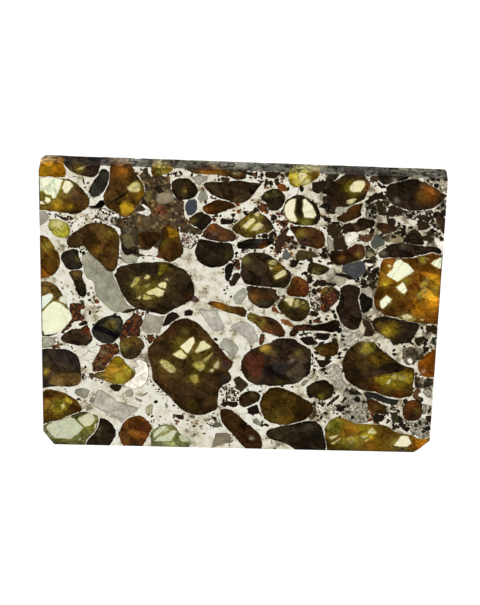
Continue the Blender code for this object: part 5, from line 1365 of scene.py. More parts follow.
# Colour and outline of every inlay.
INLAYS = [
    ("#F4EFE2", [-15.9, -8.6, -14.9, -8.4, -14, -8.9, -13.7, -10, -13.7, -11.5, -14.1, -12.6, -15, -13.4,
     -16.2, -13.8, -17.4, -13.1, -17.2, -12.4, -16.2, -11.6, -15.6, -10.9, -16, -10, -15.2, -9.5]),
    ("#3C424C", [-8.5, 17.3, -8.4, 18.1, -7.9, 18.8, -7, 18.9, -6.7, 18.5, -6.7, 17.2, -6.9, 16.7,
     -7.5, 16.2, -8.1, 16.2]),
    ("#5E625E", [6.5, 11.1, 6.9, 10.8, 7.1, 10.4, 7.7, 9.8, 7.2, 9.6, 6.9, 9.2, 6.1, 9.4, 6.1, 10]),
    ("#50554F", [19.2, 12.6, 19.9, 14, 20.2, 13.9, 21.2, 12.7, 21.2, 12.2, 19.9, 11.4, 19.5, 11.6,
     19.2, 12]),
    ("#45474A", [15.2, 8.6, 17.7, 9.4, 18.1, 9.3, 18.6, 8.6, 18.7, 8.1, 18.6, 7.6, 17.6, 6.4, 17.1, 6.2,
     15.2, 7.5]),
    ("#55564A", [-3.6, -19.4, -3, -19.1, -2.3, -19.5, -2.3, -19.9, -3.1, -20.2, -3.6, -20.2, -3.9, -19.9]),
    ("#55564A", [-7.5, -18.2, -6.9, -18, -6.4, -18.3, -6.6, -18.7, -7.2, -18.6]),
    ("#9A988A", [-6.3, 22.8, -5.2, 22.6, -5.3, 22, -6, 21.7, -6.3, 21.1, -6.9, 21.5, -7.2, 22.1,
     -7.6, 22.4]),
    ("#9A988A", [-6.1, 20.6, -5.3, 19.8, -5.1, 19.2, -5.2, 18.8, -6.2, 18.4, -6.6, 19, -6.5, 19.6,
     -6.1, 20.2]),
    ("#8C887A", [-10.1, 22.5, -9.5, 22.8, -8.9, 22.8, -9.3, 22.4, -9.9, 22.3]),
    ("#8A7E66", [-12.6, 19.7, -11.5, 19.9, -10.4, 19.7, -10, 19, -10.3, 18.4, -11.3, 18, -12.4, 17.9,
     -12.8, 18.6]),
    ("#A09C8C", [-30, 16.2, -29.2, 16.2, -28.7, 15.7, -28.6, 15.2, -29, 14.5, -29.8, 13.9, -30, 13.9]),
    ("#8C887A", [-25.1, 22, -24.8, 22.1, -24.4, 22, -24.8, 21.9]),
    ("#B0AC9C", [13.7, 18, 15.3, 18.3, 16.3, 18.9, 16.6, 18.6, 15.2, 17.5, 14.2, 16.9, 13.6, 17.4]),
    ("#9C9A86", [-23.7, 9.2, -22.9, 9.7, -21.5, 8.5, -20, 6.7, -19.2, 6.4, -19, 5.6, -18, 3.1, -17, 1.1,
     -15.9, 0.1, -16.6, -0.3, -19, -0.3, -19.7, 0.2, -21.3, 1.9, -21.9, 3.2, -21.9, 4.3, -22.3, 4.9,
     -23, 5.3, -23.4, 6.1, -23.7, 8.3]),
    ("#A6A491", [-18.1, 10.4, -17.7, 9.7, -17, 9.4, -16.2, 9.6, -15.8, 9.3, -15.2, 9.1, -15.5, 8.6,
     -15.6, 8.1, -17.5, 8]),
    ("#B0ADA0", [-0.9, 3, -0.5, 3.6, 0.5, 4.4, 0.9, 4.1, 1.1, 3.3, 0.4, 2, 0, 1.6, -0.5, 1.5, -0.8, 1.8,
     -1, 2.4]),
    ("#C0BDAE", [5.6, 4.1, 6.1, 4.5, 7, 4.5, 6.5, 3.3, 6.2, 3, 5.8, 3.2]),
    ("#BEBAB0", [-6.1, 0.5, -3.5, 0.3, -2.2, -2.5, -3, -3.1, -3.5, -3.2, -4, -3.1, -6, 0]),
    ("#B5B1A7", [-1.3, -2.5, -0.9, -2, -0.3, -1.6, 0.5, -1.4, 1.1, -1.5, 2.1, -2.3, 2.9, -4.2, 3, -4.8,
     2.4, -4.9, 2.1, -5.4, 1.7, -5.2, 1, -4.2]),
    ("#A8A598", [-3, -5.6, -2.3, -4.3, -1.8, -4.4, -1.1, -4.8, -0.1, -5.8, 0, -6.3, -0.7, -7.5, -1, -7.7]),
    ("#A39D8C", [-14.3, -0.4, -12.4, -0.9, -11.3, -0.8, -12, -3.6, -12.3, -3.9, -13, -3.8, -13.6, -3.9,
     -14.2, -3.8, -14.6, -3.3, -14.9, -2.6, -14.3, -1]),
    ("#A8A494", [-30, -5, -29, -4.9, -28.1, -5.1, -27.9, -5.8, -28.3, -6.4, -29, -6.7, -30, -6.9]),
    ("#8F8C7C", [-25.1, -14.6, -24.9, -14, -24.2, -13.8, -23.6, -13.8, -22.7, -14.1, -23.1, -15.3,
     -23.6, -15.7, -24.8, -15]),
    ("#8A8674", [-22.6, -15.5, -22.3, -15.3, -22, -15.6, -22.1, -16.2, -22.4, -16.4, -22.9, -16.1]),
    ("#B6B1A4", [-21.6, -14.1, -20.9, -14, -19.6, -15.1, -19, -15.4, -18.6, -16, -15.2, -17, -15.5, -17.6,
     -16, -18.1, -16.8, -18.6, -17.8, -19.8, -18.8, -18.8, -19.5, -18.3, -21.2, -17.6, -22, -17,
     -22.3, -16.5]),
    ("#A09C84", [-17.3, -14.3, -16.9, -13.8, -16.5, -13.7, -16.1, -14.1, -16.1, -14.9, -16.6, -15.1,
     -17.1, -15]),
    ("#A8A283", [-14, -16.8, -13.4, -16.3, -13, -16.4, -13.1, -18, -13.6, -18.2, -14, -18.1, -14.1, -17.4]),
    ("#8F8C7C", [-15.8, -15.1, -14.6, -15.7, -14.9, -16, -15.6, -15.6]),
    ("#8F8C7C", [-14.9, -14.8, -13.9, -14.2, -13.8, -14.4, -14.7, -15]),
    ("#868A74", [-11.2, -16.1, -10.9, -16.1, -10.6, -16.6, -10.9, -17.1]),
    ("#7E7460", [-3.2, -21.2, -1.4, -21.1, -0.7, -22.9, -2.3, -23.1, -3, -23.6, -3.9, -23.9]),
    ("#86866E", [2.5, -18.6, 3, -18.3, 3.8, -19.3, 3.6, -19.7, 2.5, -19.2]),
    ("#86866E", [9.7, -12.3, 9.7, -11.8, 10.2, -11.3, 10.7, -11.2, 10.8, -11.5, 10.1, -12.4]),
    ("#CFCBB0", [14, 8, 14.4, 8.5, 15, 8.5, 15.2, 8, 15.1, 7.4, 14.5, 7.3, 14.1, 7.5]),
    ("#A3A08C", [14, 6.9, 14.7, 6.8, 15.5, 6.5, 15.8, 6.2, 15.6, 5.6, 14.8, 4.9, 14.4, 5.2, 13.7, 6.4]),
    ("#B4B09C", [13.2, 7.9, 13.8, 8.2, 14, 7.8, 13.8, 7.1, 13.2, 6.6, 12.7, 6.9]),
    ("#B8B2A4", [18.2, 4.8, 18.9, 5, 19.9, 4.4, 19.9, 3, 19.5, 3.1, 18.1, 4.2]),
    ("#8C8664", [18.6, 10.7, 18.8, 11, 19.4, 10.9, 19.8, 10.6, 19.8, 10, 19.2, 9.9, 18.7, 10.2]),
    ("#5A5434", [-17.5, 12.9, -16.6, 12.8, -16.2, 12.2, -16.2, 11.3, -16.4, 10.7, -16.9, 10.4, -17.4, 10.9,
     -17.6, 11.7]),
    ("#8E7E62", [22, 14, 23, 14, 24, 13.4, 24, 12.6, 22.6, 12.6, 21.8, 12.9]),
    ("#9C988A", [12.7, 13.4, 13.3, 12.9, 13.7, 12, 13.5, 11.2, 13, 11.1, 12.6, 12.6]),
    ("#8A8674", [28.6, -15, 29.2, -15.1, 29.3, -16, 29.1, -16.8, 28.6, -16.9]),
    (BRIGHT_METAL, [-15.2, 10.4, -14.3, 10.2, -13.7, 10.3, -13.1, 10.9, -12.4, 10.3, -12.5, 9.4, -13, 9.3,
     -13.8, 9.5, -14.2, 9.3, -15.2, 9.8]),
    (BRIGHT_METAL, [-15.6, 16.5, -14.7, 16.7, -14.2, 17, -14.9, 17.7, -14.5, 17.8, -13.8, 17.2, -13.5, 16.4,
     -14, 15.9]),
    (BRIGHT_METAL, [-6, 13.1, -5.6, 14, -5.1, 14.4, -5.8, 13.1]),
    (BRIGHT_METAL, [-0.7, 12.3, -0.2, 13.2, 0.6, 12.8, -0.4, 12.1]),
    (BRIGHT_METAL, [6.6, 13.4, 6.9, 14.2, 7.1, 14.4, 7.8, 13.4, 7.2, 13.2]),
    (BRIGHT_METAL, [15.4, 13.4, 15.9, 14.2, 16.8, 14.2, 17.2, 13.6, 17, 12.8, 16.4, 12.4, 16, 11.7,
     15.5, 12.5]),
    (BRIGHT_METAL, [26.9, 14, 27.4, 14.1, 27.6, 13, 27.3, 12, 26.9, 12.3, 27.1, 13.2]),
    (BRIGHT_METAL, [28.6, 13.6, 30, 13, 30, 11.3, 29.2, 11.6]),
    (BRIGHT_METAL, [18.6, 8.9, 19.2, 9.1, 19.7, 8.8, 19, 8.5]),
    (BRIGHT_METAL, [25.7, -7.2, 26.2, -7, 26.5, -7.5, 26.3, -8.1, 25.9, -7.7]),
    (BRIGHT_METAL, [-27.7, -4.7, -27.2, -4.5, -27, -4.9, -27.5, -5.4]),
    (BRIGHT_METAL, [-19.4, 16, -18.4, 16.1, -18.1, 15.4, -18.6, 15.7, -19.2, 15.6, -19.6, 14.9, -19.2, 14.3,
     -19.9, 14.6, -19.9, 15.4]),
]


def inlay_mineral():
    """Schreibersite and troilite: metallic grey, mottled, finely cracked and pitted by the grinding."""
    material, tree, shader, tone, place = toned_material(
        "ground schreibersite and troilite", Metallic=0.3, Roughness=0.5, Specular_IOR_Level=0.1)
    blotch = add(tree, "TexNoise", {"Vector": place, "Scale": 1 / (1.3 * MM), "Detail": 8.0,
                                    "Roughness": 0.72})
    cloud = add(tree, "MapRange", {0: blotch, "From Min": 0.36, "From Max": 0.64, "To Min": 0.68,
                                   "To Max": 1.35})
    mixed = add(tree, "VectorMath", {0: tone, "Scale": cloud}, operation="SCALE")
    gap, _ = long_cells(tree, place, blotch, size=1.5 * MM, stretch=0.5, turn=1.2)
    crack = add(tree, "MapRange", {0: gap, "From Max": 0.03, "To Min": 0.55, "To Max": 0.0})
    cracked = add(tree, "Mix", {0: crack, 6: mixed, 7: opaque("#57523F")}, data_type="RGBA")
    tree.links.new(cracked, shader.inputs["Base Color"])
    return material


pile = Pile()
rng = random.Random("inlays")
for code, places in INLAYS:
    shape = roughened(traced(places), INLAY_STEP, rng)
    inner = grown(shape, -SEAM_WIDTH)
    flat, cells = filled(shape, rings=[inner])
    middle = inside(middles(flat, cells), inner)
    seam = BRIGHT_METAL if code == BRIGHT_METAL else SEAM
    pile.slab(flat, cells, [toned(code if keep else seam) for keep in middle], INLAY_TOP)
pile.build("mineral_inlays", inlay_mineral())

# Rust and crushed zones
# Where the metal was sheared, crystal and metal are ground up together; where water
# reached it, it has rusted. Each zone is a mass of small grains, polished flush.
ZONE_TOP = THICKNESS - 0.008
GRAIN_TOP = THICKNESS - 0.005
# The ground colour and the grains' colours of each kind of zone.
KINDS = {
    "dark": ("#2E2618", ["#1E1912", "#2A2418", "#362C1C", "#443824", "#5A4C2C", "#241E16"]),
    "breccia": ("#33281A", ["#33281A", "#42351F", "#554526", "#665636", "#2A2012", "#806E4A", "#4A3B20",
                            "#33260F"]),
    "rust": ("#241208", ["#4C250D", "#6E3412", "#33190A", "#64441C", "#180D06", "#7E4418", "#40281A",
                         "#26140A"]),
    "speckled": ("#3A3226", ["#D8D2C6", "#E6E2D8", "#2E261C", "#4A3C2C", "#C8C0B0", "#B8B0A0"]),
    "grey": ("#6E6A5C", ["#8C887A", "#A09C8E", "#B4B0A2", "#6E6A5C", "#5A5648", "#96927F"]),
    "pale": ("#8C877A", ["#B8B2A4", "#A8A294", "#C4BEB0", "#9A9486", "#8A8474"]),
}
# Zones as (kind, size of its grains, outline, round stains).
ZONES = {
    "crushed_olivine": [
        ("breccia", 0.5, [-15.2, 22.6, -14.2, 23.9, -13.6, 22.4, -10.9, 22.5, -10.5, 20.4, -9.9, 18.9,
         -8.6, 18.4, -8.5, 16.5, -8.3, 15.4, -9.3, 14.2, -9.1, 10.4, -9.6, 9.2, -11.5, 8.8, -13, 9.2,
         -15.5, 9.2, -17.5, 9.5, -18, 11, -18.1, 13.8, -20.6, 14.8, -19.8, 16.2, -17.6, 15.4, -16.7, 15.6,
         -15.9, 16.8, -14.4, 19.8, -14.5, 21], [(-12.8, 21, 1.1, "#33261A"), (-12, 17, 0.7, "#7A3A1C"),
         (-14, 19.4, 0.6, "#6A6428"), (-11.4, 19, 1, "#8A7E66"), (-9.6, 17.2, 0.6, "#4A3A28"),
         (-16.9, 13.4, 0.8, "#4A4436"), (-14.6, 14.8, 1.2, "#5A5034"), (-11.8, 15.4, 0.9, "#4A3C24"),
         (-9.4, 15.3, 0.6, "#3E302C"), (-12, 8.9, 0.7, "#7A3A18")]),
        ("dark", 0.36, [12, 22.4, 12.3, 20.4, 12.1, 18.8, 12.3, 17, 13.5, 16.9, 14.2, 17.6, 13.4, 18.6,
         13, 20.5, 13.4, 22.4, 14.6, 23.9, 12.4, 23.9], [(12.6, 18.9, 0.8, "#3A3020")]),
        ("breccia", 0.36, [-9.2, 15.4, -8.2, 15.6, -7.4, 14.4, -5.9, 13.9, -5.2, 14.3, -4.6, 15, -5.4, 13.6,
         -6, 13, -9.2, 13.4], [(-8.5, 14.4, 0.5, "#33281C"), (-6, 13.6, 0.6, "#3A3022")]),
        ("dark", 0.36, [19.4, 23.9, 24, 23.9, 24.1, 23.1, 22.2, 22.5, 21, 21.9, 19.8, 22.6], []),
        ("dark", 0.34, [24.9, -5.3, 26.2, -5, 27.2, -5.8, 27.3, -6.9, 26.8, -8.2, 25.6, -8.2, 24.9, -7],
         [(26, -7.3, 0.5, "#A09A8C"), (25.4, -5.7, 0.4, "#8A8676")]),
        ("dark", 0.34, [27, -10, 28, -10.4, 29, -10.5, 29.9, -10.4, 29.9, -11.6, 28.6, -12.2, 27.3, -12.2,
         27, -11], [(28.4, -10.9, 0.4, "#B4AE9E")]),
        ("breccia", 0.34, [11, -15.2, 11.8, -15.4, 12.3, -16.6, 12.2, -18, 11.4, -18.4, 10.9, -17.6], []),
        ("dark", 0.34, [12.6, 15.5, 14.4, 15.3, 14.8, 13.8, 15.2, 13.4, 15.6, 11.4, 13.8, 11, 13.5, 13,
         12.5, 14.2], []),
        ("dark", 0.3, [19.9, 13.9, 21, 13.6, 21.9, 13.9, 23.6, 13.9, 24.4, 13, 24.2, 12.5, 21.6, 12.7,
         20.9, 13], [(22.6, 13.3, 0.8, "#8E7E62")]),
        ("dark", 0.3, [18.3, 11.8, 19, 12.2, 19.3, 11.4, 19.9, 11.2, 20.4, 10.8, 19.8, 9.9, 18.6, 9.9],
         [(19.2, 10.6, 0.5, "#8C8664")]),
        ("breccia", 0.3, [4.9, 12.2, 5.6, 13.6, 6.3, 14.6, 7, 14.6, 8, 12.4, 8.2, 11.4, 7.4, 11, 6.2, 11.6,
         5.5, 10.2, 5, 10.4], [(7.2, 13.8, 0.4, "#E0DCD0"), (7.1, 12, 0.4, "#D0CABC")]),
        ("dark", 0.3, [19.8, -14.4, 20.6, -14.2, 22.6, -15.3, 23, -16.2, 22.7, -17, 20.8, -17.1, 20, -16],
         [(21.4, -15.8, 0.9, "#7A5228")]),
    ],
    "crushed_metal": [
        ("speckled", 0.3, [-8.7, 13.4, -7.4, 13.4, -6.4, 12.8, -6.4, 12, -7, 11.1, -7.6, 10.7, -8.8, 10.9,
         -9, 12], [(-8.3, 12.2, 0.5, "#6A3A1C")]),
        ("speckled", 0.3, [-21.2, 17, -20.2, 17, -18, 15.9, -17.9, 15, -19, 14.2, -20.8, 14.7, -21.6, 15.6],
         []),
        ("speckled", 0.3, [10.3, 3.6, 11.6, 3.4, 12.2, 2.4, 12.3, 1, 11.6, 0.6, 10.8, 1], []),
        ("speckled", 0.3, [-1.9, -12.8, -0.6, -13, 0, -13.8, -0.4, -15.3, -1.8, -14.8], []),
        ("grey", 0.34, [24.1, 23.9, 24.2, 23.4, 26.5, 23.2, 27.8, 22.6, 28.5, 21.9, 29.9, 20.9, 29.9, 23.9],
         [(29, 22.6, 0.8, "#A8A08C")]),
        ("grey", 0.32, [29.4, 19.9, 29.9, 19.9, 29.9, 17, 29.6, 17.3, 29.2, 18.1, 28.4, 18.4, 28.9, 18.9],
         []),
        ("grey", 0.3, [18, 19, 19.4, 19.2, 20.1, 18.6, 20.2, 16.6, 19.4, 16.2, 18.2, 16.6], []),
        ("speckled", 0.34, [21.1, 19.3, 22.6, 18.8, 24, 17.9, 25.8, 17.8, 27.8, 18.1, 28.4, 17.6, 28.3, 15,
         27.9, 14.6, 27.2, 14.8, 26, 14.6, 25.8, 16.3, 24.2, 16.6, 23.8, 17, 21, 16.7, 20.8, 18],
         [(26.6, 16, 0.5, "#2E261C"), (24.4, 17.4, 0.6, "#3A3022")]),
        ("grey", 0.3, [27.6, 14.9, 28.2, 14.8, 28.6, 14.2, 28.5, 13.4, 28.8, 12.6, 29.2, 12.1, 27.7, 12,
         27.3, 13.9], [(28, 13.4, 1, "#4C483A")]),
        ("pale", 0.36, [15.2, -0.5, 15.9, -2, 17.4, -2.8, 18.3, -2.6, 18.9, -3, 18.8, -3.7, 17.5, -4.5,
         17, -5.2, 16.4, -5.5, 15.7, -5.3, 15.4, -4.6], []),
        ("pale", 0.36, [13.5, -9, 14.5, -8.2, 15.3, -8.4, 15.9, -9.2, 16, -10.5, 16.4, -11.4, 17, -12,
         16, -12.9, 15.2, -12.6, 14.6, -11.6, 13.9, -11, 12.4, -10.2, 12.2, -9.6], []),
        ("grey", 0.36, [16.2, -12.9, 17, -12.6, 18.6, -13.2, 19.4, -14, 19.8, -14.9, 20, -16, 20.5, -17,
         20.3, -18.4, 19.3, -18.8, 18.2, -18.6, 17.2, -17.9, 16.3, -17.6], []),
        ("grey", 0.34, [26.7, -18.4, 27.5, -18.3, 28.3, -17.9, 28.7, -17.4, 29.3, -17.7, 29.8, -18.2,
         29.8, -20.8, 28.9, -21.3, 28.4, -21.2, 27.6, -20.4, 27, -20.2, 26.5, -19.6, 26.9, -19.3], []),
        ("grey", 0.32, [28.5, -12.3, 29.8, -11.5, 29.8, -13.6, 29.5, -13.9, 29, -13.7, 28.4, -13.1], []),
        ("speckled", 0.28, [17.3, 7, 18.8, 7.8, 20.2, 7.7, 20.4, 6.4, 19, 5.9, 17.8, 5.8], []),
        ("pale", 0.34, [-30, -5, -28.1, -5, -27.8, -5.9, -28.5, -6.7, -30, -6.9], []),
        ("speckled", 0.3, [0, 10.8, 1.2, 10.9, 1.2, 10.4, 0.2, 10.1], []),
    ],
    "rust_patches": [
        ("rust", 0.3, [-25.6, 0.9, -24.2, 1.1, -23.4, 0.6, -23.3, 0.1, -23.9, 0, -24.1, -0.7, -23.5, -1.2,
         -23.5, -1.7, -24.3, -2.1, -25, -2.2, -25.4, -2.5, -25.4, -3.1, -26.9, -4.3, -27, -4.1, -25.9, -2.4,
         -25.3, -1.7, -25.8, 0], []),
        ("rust", 0.3, [-22.1, 1.8, -21.4, 1.8, -21.1, 1.4, -21.3, 1, -21.9, 1.1], []),
        ("rust", 0.3, [-17.6, -2.4, -17.1, -1.7, -16.4, -1.1, -16, -0.3, -15.1, -0.7, -14.6, -1.4,
         -14.6, -2.4, -15.1, -2.9, -14.9, -4.4, -15.5, -4.5, -16.6, -4.4, -17.6, -5, -18, -5.4, -18.3, -4.4,
         -17.8, -3.5], [(-15.6, -1.4, 0.5, "#54402A")]),
        ("rust", 0.3, [-21, -6, -19.2, -5.8, -18.8, -5.6, -18.2, -6.2, -18.1, -7.2, -18.4, -7.6, -19, -7.9,
         -20.6, -10.6, -21.3, -10.8, -22.2, -10.8, -22.3, -9.3, -21.2, -7], [(-20.6, -7.4, 0.5, "#7E6A4A"),
         (-21.3, -9.4, 0.4, "#6A5638")]),
        ("rust", 0.3, [-13.9, -4, -13, -4, -12.9, -5.2, -13.6, -5.7, -14, -5], []),
        ("rust", 0.28, [-8.2, 3.4, -6.8, 2.9, -6.1, 2, -6.6, 1.6, -7.6, 2], [(-7, 2.4, 0.6, "#5A4A4A")]),
        ("rust", 0.28, [-1, 9, -0.4, 9.1, -0.1, 8.4, 0, 7.6, -0.4, 7.2, -0.9, 7.7], []),
        ("rust", 0.28, [3.1, -3.9, 3.4, -3.4, 3.8, -3.5, 3.9, -4.2, 3.6, -5.4, 3.2, -5.4, 3, -4.8], []),
        ("rust", 0.28, [11.1, 5.7, 11.6, 6, 12.7, 6.1, 12.9, 5.7, 13.8, 5.4, 13.5, 5.1, 12.2, 5.1,
         11.2, 5.3], []),
        ("rust", 0.32, [12.1, 4.6, 12.9, 4.9, 13.8, 5, 14.9, 4.3, 15, 3.6, 14.9, 2.9, 14.6, 2.4, 13.8, 1.6,
         13.3, 0.6, 12.8, 0.5, 12.3, 0.8, 12.1, 1.4, 12.2, 2.2, 12, 3.2], [(12.8, 4.2, 0.6, "#7A6A2C"),
         (13.9, 3, 0.7, "#4A2418")]),
        ("rust", 0.28, [-10.7, 18.1, -10.6, 17.6, -11.2, 17.2, -11.9, 16.5, -12.1, 16.9, -12, 17.6,
         -11.4, 18], []),
        ("rust", 0.28, [2, 17.7, 2.3, 18.1, 3, 18.5, 3.6, 18.2, 3.7, 17.6, 3.4, 17, 2.9, 17.1], []),
        ("rust", 0.28, [4.4, 15.4, 5, 15.7, 6.7, 15.9, 6.8, 15.3, 6.5, 14.7, 6.1, 14.3, 5.9, 14.8,
         5.4, 15.3], []),
        ("rust", 0.28, [1.6, 13.1, 2.2, 13, 2.1, 12.5, 1.6, 12.6], []),
        ("rust", 0.28, [-28.8, -6.2, -27.6, -6.2, -27.2, -6.8, -28.4, -6.9], []),
    ],
}
GRAIN_SHRINK = 0.86
GRAIN_TONES = (0.8, 1.2)
STAIN_STRENGTH = 0.8
ZONE_ROUGHNESS = 0.3
CRYSTAL_ROOM = 0.25


def circumcentre(a, b, c):
    turn = 2 * (a[0] * (b[1] - c[1]) + b[0] * (c[1] - a[1]) + c[0] * (a[1] - b[1]))
    if abs(turn) < 1e-9:
        return ((a[0] + b[0] + c[0]) / 3, (a[1] + b[1] + c[1]) / 3)
    squares = [p[0] ** 2 + p[1] ** 2 for p in (a, b, c)]
    return ((squares[0] * (b[1] - c[1]) + squares[1] * (c[1] - a[1]) + squares[2] * (a[1] - b[1])) / turn,
            (squares[0] * (c[0] - b[0]) + squares[1] * (a[0] - c[0]) + squares[2] * (b[0] - a[0])) / turn)


def grains(outline, spacing, rng):
    """Small many-sided grains that fill an outline."""
    seeds = loose_points(outline, spacing, rng)
    if len(seeds) < 4:
        return []
    flat, cells = triangles([outline], seeds)
    around = {}
    for cell in cells:
        centre = circumcentre(*(flat[k] for k in cell))
        for k in cell:
            around.setdefault(k, []).append(centre)
    shapes = []
    for k, corners in around.items():
        x, y = flat[k]
        if k < len(outline) or len(corners) < 3:
            continue
        corners = [(x + max(-spacing, min(spacing, u - x)) * GRAIN_SHRINK,
                    y + max(-spacing, min(spacing, v - y)) * GRAIN_SHRINK) for u, v in corners]
        shapes.append(sorted(corners, key=lambda p: math.atan2(p[1] - y, p[0] - x)))
    if not shapes:
        return []
    middle = [np.mean(shape, axis=0) for shape in shapes]
    kept = clear_of_crystals(middle, spacing * CRYSTAL_ROOM) & inside(middle, edge)
    return [trimmed(shape) for shape, keep in zip(shapes, kept) if keep]


def stained(point, tone, stains):
    for x, y, radius, code in stains:
        weight = STAIN_STRENGTH * math.exp(-(math.dist(point, (x, y)) / radius) ** 2)
        tone = tuple(part * (1 - weight) + other * weight for part, other in zip(tone, colour(code)))
    return tone


crushed = mottled("crushed olivine and metal", roughness=0.55, gloss=0.1, size=0.3,
                  darkest=0.65, brightest=1.45)
for name, zones in ZONES.items():
    rng = random.Random(name)
    pile = Pile()
    for kind, spacing, places, stains in zones:
        ground, palette = KINDS[kind]
        shape = roughened(traced(places), spacing, rng, spacing * ZONE_ROUGHNESS)
        flat, cells = filled(shape)
        tones = [stained(middle, toned(ground), stains) for middle in middles(flat, cells)]
        pile.slab(flat, cells, tones, ZONE_TOP)
        for grain in grains(shape, spacing, rng):
            tone = toned(rng.choice(palette), rng.uniform(*GRAIN_TONES))
            pile.flake(grain, stained(np.mean(grain, axis=0), tone, stains), GRAIN_TOP)
    pile.build(name, crushed)

# Crushed bits of crystal
# Slivers and crumbs of dark olivine that broke off the crystals and were frozen into the
# metal beside them, thickest where it was sheared.
BIT_TOP = THICKNESS - 0.001
BIT_UNEVEN = 0.005
# Colours of each kind of bits.
BITS = {
    "black": ["#14110C", "#1C1710", "#241C12", "#2E2416", "#18140F"],
    "brown": ["#241A10", "#33261A", "#46341F", "#5A432A", "#1C1610", "#6E5638"],
    "maroon": ["#2A1614", "#3A1E1A", "#241612", "#4A2A20", "#6A5A58"],
    "rusty": ["#4A240E", "#5E3012", "#2A150A", "#24160E", "#6A3E18", "#1C120A"],
    "ashen": ["#4A4638", "#6A6450", "#857E68", "#2E2A20", "#9C9680"],
}
